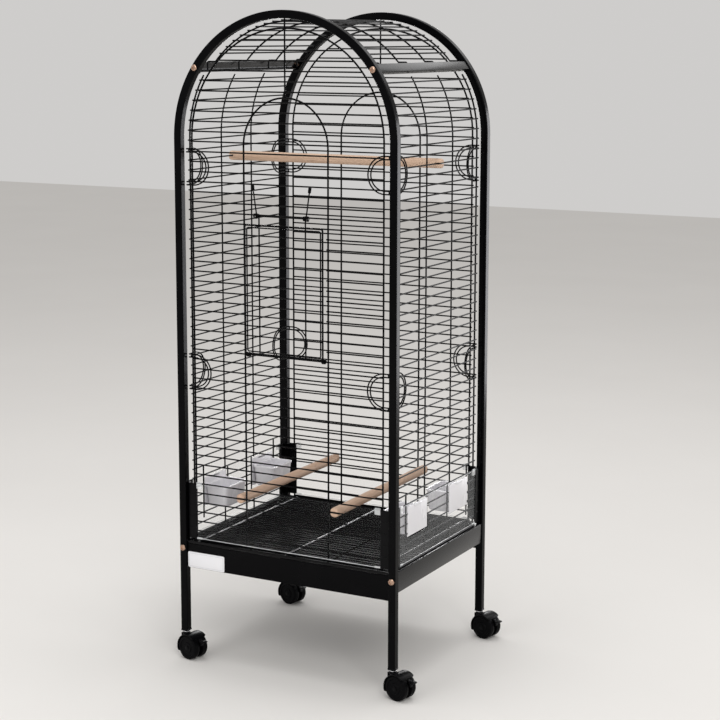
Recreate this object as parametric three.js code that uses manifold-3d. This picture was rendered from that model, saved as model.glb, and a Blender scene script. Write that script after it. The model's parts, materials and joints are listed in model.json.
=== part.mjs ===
// A bird cage on a four-legged stand with casters, millimetres, +Z up, front towards -Y.
import * as THREE from 'three';
import { mergeVertices } from 'three/addons/utils/BufferGeometryUtils.js';
import Module from 'manifold-3d';

const wasm = await Module();
wasm.setup();

const rad = THREE.MathUtils.degToRad;

// Clearances
const GAP = 0.3; // between pieces that rest against each other
const RUN = 0.5; // between pieces that slide or turn past each other

// Casters
const WHEEL = 25; // radius
const WHEEL_WIDTH = 14;
const WEB_HALF = 4; // half thickness of the web between the two wheels
const TRAIL = WHEEL * 0.8; // axle behind the stem
const HOOD = WHEEL + 3.5; // outer radius of the hood
const HOOD_SHEET = 2.4;
const AXLE = 3;
const STEM_DEPTH = 30; // stem inside the leg
const CASTER_YAW = -13;

// Frame
const FRAME_WIDTH = 485; // between the centre lines of the left and right posts
const FRAME_DEPTH = 408; // between the centre lines of the front and rear arches
const TUBE = 16; // side of the square tube
const TUBE_WALL = 1.2;
const STEM = TUBE / 2 - 2.5; // radius of a caster's stem, inside the tube
const LEG_FOOT = WHEEL + HOOD + 3.5; // height of the open foot of each leg
const ARCH_SPRING = 1079; // height where the legs turn into the half-round top
const ARCH_STEPS = 26;
const HALF_W = FRAME_WIDTH / 2;
const HALF_D = FRAME_DEPTH / 2;
const POST_X = HALF_W - TUBE / 2; // inner face of a post across the cage
const POST_Y = HALF_D - TUBE / 2; // inner face of a post along the cage
const FACE_Y = HALF_D + TUBE / 2; // outer face of the front and rear arches

// Base
const BASE_TOP = 251;
const RAIL_HEIGHT = 42;
const RAIL_SHEET = 2;
const LEDGE_REACH = 22;
const GRATE_LEDGE = BASE_TOP - 6; // top of the ledge that carries the grate
const SKIRT_HEIGHT = 57;
const SHEET = 1.5;
const TRAY_TOP = GRATE_LEDGE - RAIL_SHEET - 0.8;
const TRAY_FRONT_TOP = GRATE_LEDGE + GAP - RUN;
const GRATE_STEP = 72; // between the long wires of the floor
const TAB = 3; // thickness of the bolted end tabs
const PLATE_WIDTH = 88;
const PLATE_HEIGHT = 33;

// Wire panels
const WIRE = 1.2; // radius of a lattice wire
const EDGE_WIRE = 1.7; // radius of a border wire
const WIRE_SIDES = 4;
const FIRST_WIRE = BASE_TOP + 2; // height of the lowest horizontal wire
const PITCH = 20; // spacing of the real horizontal wires
const KEPT = 5; // one horizontal wire in five is built here
const FRONT_EDGE = POST_X - 18.5; // border wire of the front and rear panels
const SIDE_EDGE = POST_Y - 22; // border wire of the side and roof panels
const INNER_UPRIGHT = SIDE_EDGE / 3; // inner uprights of the side and roof panels
const PANEL_INSET = 2; // panel plane outwards from the inner faces of the posts
const FRONT_PLANE = POST_Y + PANEL_INSET;
const SIDE_PLANE = POST_X + PANEL_INSET + GAP;
const HOOP_HALF = 95; // half width of the door hoop
const HOOP_SPRING = ARCH_SPRING - 12;

// Door and latch
const DOOR_HALF = HOOP_HALF - 7;
const DOOR_SILL = FIRST_WIRE + 20 * PITCH;
const DOOR_HEIGHT = 13 * PITCH;
const DOOR_STAND = 8; // door wires in front of the panel wires
const DOOR_UPRIGHTS = [-55, 50];
const EYE = 3; // radius of the hinge eyes
const LATCH_RISE = 19; // latch pin above the door top
const LATCH_LENGTH = 60;
const LATCH_SPLAY = 9;

// Guards, brackets and cups
const OPENING_FOOT = FIRST_WIRE + 2 * PITCH;
const OPENING_HEIGHT = 4 * PITCH;
const GUARD_FOOT = FIRST_WIRE + 3;
const GUARD_HEIGHT = OPENING_FOOT + OPENING_HEIGHT - GUARD_FOOT;
const GUARD_SHEET = 1.5;
const BRACKET_ARM = 21;
const BRACKET_SHEET = 3;
const CUP_CENTRE = SIDE_EDGE - 79;
const CUP_WIDTH = 84;
const CUP_DEPTH = 55;
const CUP_HEIGHT = 45;
const CUP_FOOT = OPENING_FOOT + 14;
const CUP_WALL = 2;
const CUP_PLATE_WIDTH = CUP_WIDTH + 4;
const CUP_PLATE_HEIGHT = 61;

// Roof
const RAIL_ANGLE = 35; // degrees up the arch
const RAIL_WIDTH = 19;
const RAIL_THICK = 2.5;
const RAIL_OUTER = HALF_W + TUBE / 2 - 2;
const ROOF_RADIUS = SIDE_PLANE - 6.8; // arched roof wires
const ROOF_START = 41; // degrees, where they leave their hooks
const RAIL_INNER = RAIL_OUTER - RAIL_THICK;
const RAIL_REACH = RAIL_INNER * Math.cos(rad(RAIL_ANGLE)); // middle of the rail's inner face
const RAIL_RISE = (RAIL_WIDTH / 2) * Math.sin(rad(RAIL_ANGLE));
const HOOK_X = Math.floor(RAIL_REACH - RAIL_RISE) - 4; // inside the rail's top edge
const HOOK_DROP = 16;

// Perches
const PERCH = 10; // radius
const PERCH_PAST = 8; // upper perch beyond the side wires
const HIGH_ROW = Math.round((ARCH_SPRING - 46 - FIRST_WIRE) / PITCH);
const HIGH_PERCH = FIRST_WIRE + HIGH_ROW * PITCH;
const HIGH_PERCH_Y = -8;
const LOW_PERCH = FIRST_WIRE + 5 * PITCH;
const LOW_PERCH_X = FRONT_EDGE / 2 + 1;

// Corner clips
const CLIP_WIRE = 1.25;
const CLIP_HEIGHT = 72;
const CLIP_FRONT_REACH = 52;
const CLIP_SIDE_REACH = 58;
const CLIP_STEP = 6; // second loop inside the first
const CLIP_STEPS = 6; // straight pieces in each half-round end
const FOLD = 1.5; // half the width of the fold
const CLIP_LEVELS = { lower: 604, upper: ARCH_SPRING - 58 };

// Bolts
const BOLT = 3; // shank radius
const BOLT_HEAD = 6.5;
const BOLT_HEAD_HEIGHT = 4.5;
const LOW_BOLT = BASE_TOP - 16;

// Colours
const BLACK_STEEL = finish(0x141417, 0.42, 0.35);
const BLACK_WIRE = finish(0x17171a, 0.4, 0.4);
const BLACK_PLASTIC = finish(0x131315, 0.55, 0);
const CLEAR_PLASTIC = finish(0xb9bfc4, 0.15, 0);
const WHITE_PLASTIC = finish(0xe2dfe6, 0.35, 0);
const COPPER = finish(0xbe835f, 0.3, 1);
const WOOD = finish(0xb98c72, 0.7, 0);
const PLATE = finish(0xe6e6e6, 0.5, 0);

function finish(color, roughness, metalness) {
  return new THREE.MeshStandardMaterial({ color, roughness, metalness });
}

const at = (x, y, z) => new THREE.Vector3(x, y, z);

// A path through chosen points, so that a swept wire turns exactly where they say.
class Route extends THREE.Curve {
  constructor(points, closed = false) {
    super();
    this.points = closed ? [...points, points[0]] : points;
    this.closed = closed;
    this.steps = this.points.length - 1;
  }

  getPoint(t, target = new THREE.Vector3()) {
    const place = Math.min(Math.max(t, 0), 1) * this.steps;
    const index = Math.min(Math.round(place * 1e6) / 1e6, this.steps);
    const start = Math.min(Math.floor(index), this.steps - 1);
    return target.lerpVectors(this.points[start], this.points[start + 1], index - start);
  }

  getPointAt(u, target) {
    return this.getPoint(u, target);
  }

  getTangentAt(u, target = new THREE.Vector3()) {
    const index = Math.round(u * this.steps);
    const wrap = this.closed && (index === 0 || index === this.steps);
    const before = wrap ? this.points[this.steps - 1] : this.points[Math.max(index - 1, 0)];
    const after = wrap ? this.points[1] : this.points[Math.min(index + 1, this.steps)];
    const here = this.points[index];
    const arriving = here.clone().sub(before).normalize();
    const leaving = after.clone().sub(here).normalize();
    return target.copy(arriving).add(leaving).normalize();
  }
}

// Points of an arc in the XZ plane, angles in degrees from +X towards +Z.
function arc(radius, centreZ, from, to, steps, y = 0) {
  return Array.from({ length: steps + 1 }, (_, i) => {
    const angle = rad(from + ((to - from) * i) / steps);
    return at(radius * Math.cos(angle), y, centreZ + radius * Math.sin(angle));
  });
}

function solid(geometry) {
  const bare = geometry.clone();
  bare.deleteAttribute('normal');
  bare.deleteAttribute('uv');
  const merged = mergeVertices(bare, 1e-4);
  const vertProperties = new Float32Array(merged.attributes.position.array);
  const triVerts = new Uint32Array(merged.index.array);
  return new wasm.Manifold(new wasm.Mesh({ numProp: 3, vertProperties, triVerts }));
}

function join(pieces) {
  return pieces.reduce((whole, piece) => whole.add(piece));
}

function cut(whole, tools) {
  return tools.reduce((rest, tool) => rest.subtract(tool), whole);
}

function block(x, y, z) {
  const size = [x, y, z].map(([a, b]) => Math.abs(b - a));
  const middle = [x, y, z].map(([a, b]) => (a + b) / 2);
  return solid(new THREE.BoxGeometry(...size).translate(...middle));
}

function rod(start, end, radius, sides = WIRE_SIDES) {
  const along = end.clone().sub(start);
  const shape = new THREE.CylinderGeometry(radius, radius, along.length(), sides);
  const turn = new THREE.Quaternion().setFromUnitVectors(at(0, 1, 0), along.clone().normalize());
  shape.applyQuaternion(turn);
  const middle = start.clone().add(end).multiplyScalar(0.5);
  return solid(shape.translate(middle.x, middle.y, middle.z));
}

function wireSection(radius, sides = WIRE_SIDES) {
  const corners = Array.from({ length: sides }, (_, i) => {
    const angle = (2 * Math.PI * (i + 0.5)) / sides;
    return new THREE.Vector2(radius * Math.cos(angle), radius * Math.sin(angle));
  });
  return new THREE.Shape(corners);
}

function sweep(section, points) {
  const extrudePath = new Route(points);
  return solid(new THREE.ExtrudeGeometry(section, { steps: extrudePath.steps, extrudePath }));
}

function wire(points, radius) {
  return sweep(wireSection(radius), points);
}

function ring(points, radius) {
  const path = new Route(points, true);
  return solid(new THREE.TubeGeometry(path, path.steps, radius, WIRE_SIDES, true));
}

function squareOutline(side) {
  const h = side / 2;
  return [[-h, -h], [h, -h], [h, h], [-h, h]].map(([x, y]) => new THREE.Vector2(x, y));
}

// An outline in the XZ plane, pushed through a span of y.
function slab(outline, y) {
  const shape = new THREE.Shape(outline.map(([x, z]) => new THREE.Vector2(x, z)));
  const depth = Math.abs(y[1] - y[0]);
  const geometry = new THREE.ExtrudeGeometry(shape, { depth, bevelEnabled: false });
  geometry.rotateX(Math.PI / 2);
  return solid(geometry.translate(0, Math.max(...y), 0));
}

const cage = new THREE.Group();

function meshOf(name, body, material) {
  const { vertProperties, triVerts } = body.getMesh();
  const geometry = new THREE.BufferGeometry();
  geometry.setAttribute('position', new THREE.BufferAttribute(vertProperties, 3));
  geometry.setIndex(new THREE.BufferAttribute(triVerts, 1));
  geometry.computeVertexNormals();
  const mesh = new THREE.Mesh(geometry, material.clone());
  mesh.name = name;
  return mesh;
}

function add(name, body, material) {
  cage.add(meshOf(name, body, material));
}

const SIDES = { left: -1, right: 1 };
const ENDS = { front: -1, rear: 1 };
const upright = (x, y, low, high, radius) => rod(at(x, y, low), at(x, y, high), radius);

// Centre of the bolted joint between an arch and a top rail.
const railPoint = (side) => {
  const angle = rad(RAIL_ANGLE);
  return at(side * HALF_W * Math.cos(angle), 0, ARCH_SPRING + HALF_W * Math.sin(angle));
};

const boltPlaces = Object.values(SIDES).flatMap((side) => [
  { side, level: 'lower', x: side * HALF_W, z: LOW_BOLT },
  { side, level: 'upper', x: railPoint(side).x, z: railPoint(side).z },
]);

function boltHoles(end) {
  const y = end * HALF_D;
  return boltPlaces.map(({ x, z }) => rod(at(x, y - TUBE, z), at(x, y + TUBE, z), BOLT + RUN, 8));
}

function archTube(end) {
  const section = new THREE.Shape(squareOutline(TUBE));
  section.holes.push(new THREE.Path(squareOutline(TUBE - 2 * TUBE_WALL)));
  const y = end * HALF_D;
  const top = arc(HALF_W, ARCH_SPRING, 0, 180, ARCH_STEPS, y);
  const points = [at(HALF_W, y, LEG_FOOT), ...top, at(-HALF_W, y, LEG_FOOT)];
  return cut(sweep(section, points), boltHoles(end));
}

function boltBody() {
  const rise = BOLT_HEAD_HEIGHT;
  const shank = TUBE + 2 * TAB;
  const profile = [
    [0, -rise], [BOLT_HEAD * 0.55, -rise * 0.9], [BOLT_HEAD * 0.9, -rise * 0.5],
    [BOLT_HEAD, -GAP], [BOLT, -GAP], [BOLT, shank], [0, shank],
  ].map(([r, y]) => new THREE.Vector2(r, y));
  return solid(new THREE.LatheGeometry(profile, 8));
}

function addBolts() {
  const body = boltBody();
  for (const [endName, end] of Object.entries(ENDS)) {
    for (const { side, level, x, z } of boltPlaces) {
      const bolt = meshOf(`bolt_${endName}_${side < 0 ? 'left' : 'right'}_${level}`, body, COPPER);
      bolt.position.set(x, end * FACE_Y, z);
      bolt.rotation.x = end < 0 ? 0 : Math.PI;
      cage.add(bolt);
    }
  }
}

// A flat strip between the arches with a lower lip and a bolted tab at each end.
function topRail(side) {
  const half = POST_Y - GAP;
  const w = RAIL_WIDTH / 2;
  const place = (tangent, radius) => {
    const angle = rad(RAIL_ANGLE);
    const x = radius * Math.cos(angle) - tangent * Math.sin(angle);
    const z = radius * Math.sin(angle) + tangent * Math.cos(angle);
    return [side * x, ARCH_SPRING + z];
  };
  const panel = (t0, t1, r0, r1, y) => {
    const corners = [place(t0, r0), place(t0, r1), place(t1, r1), place(t1, r0)];
    return slab(side < 0 ? corners.reverse() : corners, y);
  };
  const strip = panel(-w, w, RAIL_INNER, RAIL_OUTER, [-half, half]);
  const lip = panel(-w, -w + RAIL_SHEET, SIDE_PLANE + 2 * WIRE, RAIL_INNER + 1, [-half, half]);
  const tabs = Object.values(ENDS).map((end) => {
    const y = [end * (half - TAB), end * half];
    return panel(-w, w, HALF_W - TUBE / 2 + 1, RAIL_INNER + 1, y);
  });
  const { x, z } = railPoint(side);
  const hole = rod(at(x, -HALF_D, z), at(x, HALF_D, z), BOLT + RUN, 8);
  return cut(join([strip, lip, ...tabs]), [hole]);
}

// The side of the base: a wall, a top flange, and ledges for the grate and the tray.
function baseRail(side) {
  const half = POST_Y - GAP;
  const outer = side * (HALF_W + TUBE / 2 - RAIL_SHEET);
  const wall = [outer - side * RAIL_SHEET, outer];
  const reach = [side * (POST_X - LEDGE_REACH / 2 + GAP), outer];
  const foot = BASE_TOP - RAIL_HEIGHT;
  const span = [-half, half];
  const pieces = [
    block(wall, span, [foot, BASE_TOP]),
    block([side * POST_X, outer], span, [BASE_TOP - RAIL_SHEET, BASE_TOP]),
    block(reach, span, [GRATE_LEDGE - RAIL_SHEET, GRATE_LEDGE]),
    block(reach, span, [foot, foot + RAIL_SHEET]),
  ];
  const tabX = [side * (POST_X + 2), outer];
  for (const end of Object.values(ENDS)) {
    pieces.push(block(tabX, [end * (half - TAB), end * half], [foot, BASE_TOP]));
  }
  const x = side * HALF_W;
  const hole = rod(at(x, -HALF_D, LOW_BOLT), at(x, HALF_D, LOW_BOLT), BOLT + RUN, 8);
  return cut(join(pieces), [hole]);
}

const SKIRT_FOOT = BASE_TOP - SKIRT_HEIGHT;
const SKIRT_HALF = POST_X - RUN;
const SKIRT_FACE = HALF_D + TUBE / 4;

function rearSkirt() {
  const face = [HALF_D, HALF_D + RAIL_SHEET];
  const half = POST_X - GAP;
  const back = block([-half, half], face, [SKIRT_FOOT, BASE_TOP]);
  const lip = block([-half, half], [HALF_D - 6, HALF_D + RAIL_SHEET], [SKIRT_FOOT, SKIRT_FOOT + RAIL_SHEET]);
  return join([back, lip]);
}

// The slide-out tray: an open box behind the drawer front.
function drawerTray() {
  const half = POST_X - 2 * RUN;
  const foot = BASE_TOP - RAIL_HEIGHT + RAIL_SHEET + GAP;
  const back = HALF_D - 10;
  const outside = block([-half, half], [-SKIRT_FACE + SHEET, back], [foot, TRAY_TOP]);
  const inX = [-half + SHEET, half - SHEET];
  const inside = block(inX, [-SKIRT_FACE + 2 * SHEET, back - SHEET], [foot + SHEET, BASE_TOP]);
  const faceY = [-SKIRT_FACE, -SKIRT_FACE + 2 * SHEET];
  const face = block([-SKIRT_HALF, SKIRT_HALF], faceY, [SKIRT_FOOT, TRAY_FRONT_TOP]);
  return join([cut(outside, [inside]), face]);
}

function namePlate() {
  const left = -SKIRT_HALF + 2;
  const y = [-SKIRT_FACE - GAP - 1, -SKIRT_FACE - GAP];
  return block([left, left + PLATE_WIDTH], y, [SKIRT_FOOT + 1, SKIRT_FOOT + 1 + PLATE_HEIGHT]);
}

// The wire floor above the tray, with the strip that closes its slot.
function floorGrate() {
  const half = POST_X - 4;
  const front = -SKIRT_FACE + SHEET;
  const back = HALF_D - 10;
  const low = GRATE_LEDGE + GAP + EDGE_WIRE;
  const strip = block(
    [-SKIRT_HALF, SKIRT_HALF], [-SKIRT_FACE, -SKIRT_FACE + 2 * SHEET], [TRAY_FRONT_TOP + GAP, BASE_TOP],
  );
  const pieces = [strip];
  const columns = [-2.5, -1.5, -0.5, 0.5, 1.5, 2.5].map((step) => step * GRATE_STEP);
  for (const x of [-half, ...columns, half]) {
    pieces.push(rod(at(x, front, low), at(x, back, low), EDGE_WIRE));
  }
  const rows = 5;
  for (let row = 1; row <= rows; row += 1) {
    const y = front + ((back - front - EDGE_WIRE) * row) / rows;
    pieces.push(rod(at(-half - 1, y, low + WIRE), at(half + 1, y, low + WIRE), WIRE));
  }
  return join(pieces);
}

const rowHeights = (first, last) => {
  const step = PITCH * KEPT;
  const count = Math.floor((last - first) / step);
  return Array.from({ length: count + 1 }, (_, i) => first + i * step);
};

// Half width of the front panel at a height.
const archHalf = (z) => {
  const rise = Math.max(z - ARCH_SPRING, 0);
  return Math.sqrt(FRONT_EDGE ** 2 - rise ** 2);
};

const DOOR_TOP = DOOR_SILL + DOOR_HEIGHT;
const OUTER_WIRE = 1.3; // horizontal wires lie this far outside the uprights

function endPanel(end) {
  const y = end * FRONT_PLANE;
  const rowY = y + end * OUTER_WIRE;
  const border = [
    at(FRONT_EDGE, y, FIRST_WIRE), ...arc(FRONT_EDGE, ARCH_SPRING, 0, 180, 20, y),
    at(-FRONT_EDGE, y, FIRST_WIRE),
  ];
  const hoop = [
    at(HOOP_HALF, y, FIRST_WIRE), ...arc(HOOP_HALF, HOOP_SPRING, 0, 180, 12, y),
    at(-HOOP_HALF, y, FIRST_WIRE),
  ];
  const crown = ARCH_SPRING + FRONT_EDGE;
  const pieces = [
    wire(border, EDGE_WIRE), wire(hoop, EDGE_WIRE),
    upright(0, y, HOOP_SPRING + HOOP_HALF - 1, ARCH_SPRING + POST_X - RUN, WIRE),
  ];
  const doorway = end < 0 ? [DOOR_SILL + 1, DOOR_TOP - 1] : [0, 0];
  const heights = [FIRST_WIRE, ...rowHeights(FIRST_WIRE + PITCH * KEPT, DOOR_TOP - PITCH * KEPT)];
  heights.push(...rowHeights(DOOR_TOP, crown - 2 * PITCH));
  for (const z of heights) {
    const half = archHalf(z) + 1;
    const radius = z === FIRST_WIRE ? EDGE_WIRE : WIRE;
    if (z > doorway[0] && z < doorway[1]) {
      for (const side of Object.values(SIDES)) {
        const inner = at(side * (HOOP_HALF - 1), rowY, z);
        pieces.push(rod(inner, at(side * half, rowY, z), radius));
      }
    } else {
      pieces.push(rod(at(-half, rowY, z), at(half, rowY, z), radius));
    }
  }
  return join(pieces);
}

// A point on the curved side surface: straight up to the spring line, then round.
function skin(side, angle, y) {
  const r = SIDE_PLANE;
  return at(side * r * Math.cos(rad(angle)), y, ARCH_SPRING + r * Math.sin(rad(angle)));
}

function sideUpright(side, y, low, radius) {
  const top = RAIL_ANGLE - 3.6;
  const bend = Array.from({ length: 5 }, (_, i) => skin(side, (top * i) / 4, y));
  return wire([at(side * SIDE_PLANE, y, low), ...bend], radius);
}

function sidePanel(side) {
  const x = side * SIDE_PLANE;
  const openTop = OPENING_FOOT + OPENING_HEIGHT;
  const pieces = [];
  for (const end of Object.values(ENDS)) {
    const inner = end * INNER_UPRIGHT;
    pieces.push(sideUpright(side, end * SIDE_EDGE, FIRST_WIRE, EDGE_WIRE));
    pieces.push(sideUpright(side, inner, openTop - 1, WIRE));
    pieces.push(upright(x, inner, FIRST_WIRE, OPENING_FOOT + 1, WIRE));
    const guide = end * (CUP_CENTRE + CUP_PLATE_WIDTH / 2 + RUN + WIRE);
    pieces.push(upright(x, guide, OPENING_FOOT - PITCH / 2, openTop + PITCH, WIRE));
  }
  const heights = [FIRST_WIRE, OPENING_FOOT, ...rowHeights(openTop, ARCH_SPRING + 110)];
  for (const z of heights) {
    const rise = Math.max(z - ARCH_SPRING, 0);
    const rowX = side * (Math.sqrt(SIDE_PLANE ** 2 - rise ** 2) + OUTER_WIRE);
    const radius = z === FIRST_WIRE ? EDGE_WIRE : WIRE;
    pieces.push(rod(at(rowX, -SIDE_EDGE - 1, z), at(rowX, SIDE_EDGE + 1, z), radius));
  }
  return join(pieces);
}

// Arched wires that step out and down behind both top rails, with lengthwise wires on them.
function roofPanel() {
  const steps = 14;
  const from = ROOF_START;
  const to = 180 - ROOF_START;
  const pieces = [];
  for (const y of [-SIDE_EDGE, -INNER_UPRIGHT, INNER_UPRIGHT, SIDE_EDGE]) {
    const top = arc(ROOF_RADIUS, ARCH_SPRING, from, to, steps, y);
    const { z } = top[0];
    const right = [at(HOOK_X, y, z - HOOK_DROP), at(HOOK_X, y, z)];
    const left = [at(-HOOK_X, y, z), at(-HOOK_X, y, z - HOOK_DROP)];
    pieces.push(wire([...right, ...top, ...left], WIRE));
  }
  for (let step = 1; step < steps; step += 2) {
    const angle = rad(from + ((to - from) * step) / steps);
    const r = ROOF_RADIUS + OUTER_WIRE;
    const [x, z] = [r * Math.cos(angle), ARCH_SPRING + r * Math.sin(angle)];
    pieces.push(rod(at(x, -SIDE_EDGE - 1, z), at(x, SIDE_EDGE + 1, z), WIRE));
  }
  return join(pieces);
}

// A ring with its axis along X, for a hinge or a latch pin to turn in.
function eye(x, y, z, radius) {
  const shape = new THREE.TorusGeometry(radius, WIRE * 0.8, 4, 8);
  return solid(shape.rotateY(Math.PI / 2).translate(x, y, z));
}

const HINGE_Y = -FRONT_PLANE - OUTER_WIRE;
const DOOR_PLANE = HINGE_Y - DOOR_STAND;
const LATCH_Y = DOOR_PLANE - EYE;
const LATCH_Z = DOOR_TOP + LATCH_RISE;

function frontDoor() {
  const y = DOOR_PLANE;
  const foot = DOOR_SILL + 4;
  const corners = [
    at(-DOOR_HALF, y, foot), at(DOOR_HALF, y, foot),
    at(DOOR_HALF, y, DOOR_TOP), at(-DOOR_HALF, y, DOOR_TOP),
  ];
  const pieces = [];
  corners.forEach((corner, i) => {
    const next = corners[(i + 1) % corners.length];
    const over = next.clone().sub(corner).setLength(EDGE_WIRE / 2);
    pieces.push(rod(corner.clone().sub(over), next.clone().add(over), EDGE_WIRE));
  });
  for (const x of DOOR_UPRIGHTS) {
    pieces.push(upright(x, y, foot, LATCH_Z - EYE * 0.6, WIRE));
    pieces.push(eye(x, LATCH_Y, LATCH_Z, EYE));
  }
  for (const z of rowHeights(DOOR_SILL + PITCH * 3, DOOR_TOP - PITCH * 2)) {
    pieces.push(rod(at(-DOOR_HALF, y - WIRE, z), at(DOOR_HALF, y - WIRE, z), WIRE));
  }
  for (const side of Object.values(SIDES)) {
    const x = side * (DOOR_HALF - 2);
    const pin = at(x, HINGE_Y, DOOR_SILL);
    const lug = at(x, y, foot);
    const touch = pin.clone().add(lug.clone().sub(pin).setLength(EYE));
    pieces.push(eye(x, HINGE_Y, DOOR_SILL, EYE), rod(touch, lug, WIRE));
  }
  return join(pieces);
}

function doorLatch() {
  const [left, right] = DOOR_UPRIGHTS;
  const grip = 4;
  const pin = rod(at(left - grip, LATCH_Y, LATCH_Z), at(right + grip, LATCH_Y, LATCH_Z), WIRE);
  const pieces = [pin];
  for (const [x, out] of [[left, -1], [right, 1]]) {
    const root = at(x + out * grip * 0.8, LATCH_Y, LATCH_Z);
    const tip = at(root.x + out * LATCH_SPLAY, LATCH_Y, LATCH_Z + LATCH_LENGTH);
    const sleeve = root.clone().lerp(tip, 0.85);
    pieces.push(rod(root, tip, WIRE), rod(sleeve, tip, 2.5 * WIRE, 6));
  }
  return join(pieces);
}

// Guards run between the corner brackets, outside the wires.
const GUARD_Z = [GUARD_FOOT, GUARD_FOOT + GUARD_HEIGHT];
const GUARD_Y = FRONT_PLANE + OUTER_WIRE + EDGE_WIRE + RUN;
const GUARD_X = SIDE_PLANE + OUTER_WIRE + EDGE_WIRE + RUN;

function endGuard(end) {
  const half = POST_X - GAP - BRACKET_ARM - GAP;
  return block([-half, half], [end * GUARD_Y, end * (GUARD_Y + GUARD_SHEET)], GUARD_Z);
}

function sideGuard(side) {
  const half = POST_Y - GAP - BRACKET_ARM - GAP;
  const x = [side * GUARD_X, side * (GUARD_X + GUARD_SHEET)];
  const windows = Object.values(ENDS).map((end) => {
    const centre = end * CUP_CENTRE;
    const reach = CUP_PLATE_WIDTH / 2 + 1.5;
    const z = [CUP_FOOT - 3, CUP_FOOT + CUP_PLATE_HEIGHT + 2];
    return block([side * (GUARD_X - 5), side * (GUARD_X + 5)], [centre - reach, centre + reach], z);
  });
  return cut(block(x, [-half, half], GUARD_Z), windows);
}

// A bracket that wraps the inner corner of a post, with an arm along each guard.
function cornerBracket(side, end) {
  const x0 = POST_X - GAP;
  const y0 = POST_Y - GAP;
  const web = x0 - BRACKET_SHEET;
  const inner = y0 - BRACKET_SHEET;
  const pair = (factor, a, b) => [factor * a, factor * b];
  const outY = GUARD_Y + GUARD_SHEET + 1;
  const outX = GUARD_X + GUARD_SHEET + 1;
  return join([
    block(pair(side, x0 - BRACKET_ARM, x0), pair(end, GUARD_Y, outY), GUARD_Z),
    block(pair(side, web, x0), pair(end, inner, outY), GUARD_Z),
    block(pair(side, web, outX), pair(end, inner, y0), GUARD_Z),
    block(pair(side, GUARD_X, outX), pair(end, y0 - BRACKET_ARM, y0), GUARD_Z),
  ]);
}

// An open feeder cup behind a plate that fills its opening.
function cup(side, end) {
  const centre = end * CUP_CENTRE;
  const face = SIDE_PLANE + OUTER_WIRE;
  const wide = (half) => [centre - half, centre + half];
  const z = [CUP_FOOT, CUP_FOOT + CUP_HEIGHT];
  const body = block([side * (face - CUP_DEPTH), side * face], wide(CUP_WIDTH / 2), z);
  const plate = block(
    [side * face, side * (face + CUP_WALL)], wide(CUP_PLATE_WIDTH / 2 - RUN),
    [CUP_FOOT - 1, CUP_FOOT - 1 + CUP_PLATE_HEIGHT],
  );
  const hollow = block(
    [side * (face - CUP_DEPTH + CUP_WALL), side * (face - CUP_WALL)],
    wide(CUP_WIDTH / 2 - CUP_WALL), [CUP_FOOT + CUP_WALL, CUP_FOOT + CUP_HEIGHT + 1],
  );
  return cut(join([body, plate]), [hollow]);
}

// A round perch along Y with a notch in each end for a wire, to be turned and placed.
function perchBody(half, seat) {
  const body = rod(at(0, -half, 0), at(0, half, 0), PERCH, 12);
  const notches = Object.values(ENDS).map((end) => {
    const y = [end * seat, end * (half + 1)];
    return block([-PERCH - 1, PERCH + 1], y, [-2 * WIRE, 2 * WIRE]);
  });
  return cut(body, notches);
}

function addPerches() {
  const across = perchBody(SIDE_PLANE + OUTER_WIRE + PERCH_PAST, SIDE_PLANE - EDGE_WIRE - RUN);
  const along = perchBody(GUARD_Y - RUN, FRONT_PLANE - EDGE_WIRE - RUN);
  const high = meshOf('perch_upper', across, WOOD);
  high.position.set(0, HIGH_PERCH_Y, HIGH_PERCH);
  high.rotation.z = Math.PI / 2;
  cage.add(high);
  for (const [name, side] of Object.entries(SIDES)) {
    const low = meshOf(`perch_lower_${name}`, along, WOOD);
    low.position.set(side * LOW_PERCH_X, 0, LOW_PERCH);
    cage.add(low);
  }
}

// A wire clip folded round the inside of a post: two loops, one inside the other.
function cornerClip(side, end, level) {
  const foldX = POST_X - GAP - CLIP_WIRE;
  const foldY = POST_Y - GAP - CLIP_WIRE;
  const middle = CLIP_LEVELS[level];
  const fold = (s, z) => {
    const x = s < 0 ? foldX + s : foldX;
    const y = s > 0 ? foldY - s : foldY;
    return at(side * x, end * y, middle + z);
  };
  const loop = (radius) => {
    const bend = (reach, from) => arc(radius, 0, from, from + 180, CLIP_STEPS)
      .map((p) => [p.x + Math.sign(reach) * (Math.abs(reach) - CLIP_HEIGHT / 2), p.z]);
    const across = bend(CLIP_SIDE_REACH, -90);
    const front = bend(-CLIP_FRONT_REACH, 90);
    const high = [[FOLD, radius], [-FOLD, radius]];
    const low = [[-FOLD, -radius], [FOLD, -radius]];
    return ring([...across, ...high, ...front, ...low].map(([s, z]) => fold(s, z)), CLIP_WIRE);
  };
  const outer = CLIP_HEIGHT / 2;
  const inner = outer - CLIP_STEP;
  const ties = [-1, 1].map((up) => rod(
    fold(-8, up * (inner - 0.5)), fold(-8, up * (outer + 0.5)), CLIP_WIRE,
  ));
  return join([loop(outer), loop(inner), ...ties]);
}

// Casters, in their own frame: stem axis at the origin, rolling along +X, floor at z = 0.
const sector = (radius, from, to, steps) => [[TRAIL, WHEEL], ...arc(radius, WHEEL, from, to, steps)
  .map((p) => [p.x + TRAIL, p.z])];

function axleRod(radius, half, sides = 16) {
  return rod(at(TRAIL, -half, WHEEL), at(TRAIL, half, WHEEL), radius, sides);
}

const WHEEL_OUT = WEB_HALF + RUN + WHEEL_WIDTH;

function wheelPair() {
  const discs = [-1, 1].map((s) => {
    const [a, b] = [s * (WEB_HALF + RUN), s * WHEEL_OUT];
    return rod(at(TRAIL, Math.min(a, b), WHEEL), at(TRAIL, Math.max(a, b), WHEEL), WHEEL, 20);
  });
  return join([...discs, axleRod(AXLE, WHEEL_OUT - 1, 8)]);
}

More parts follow.
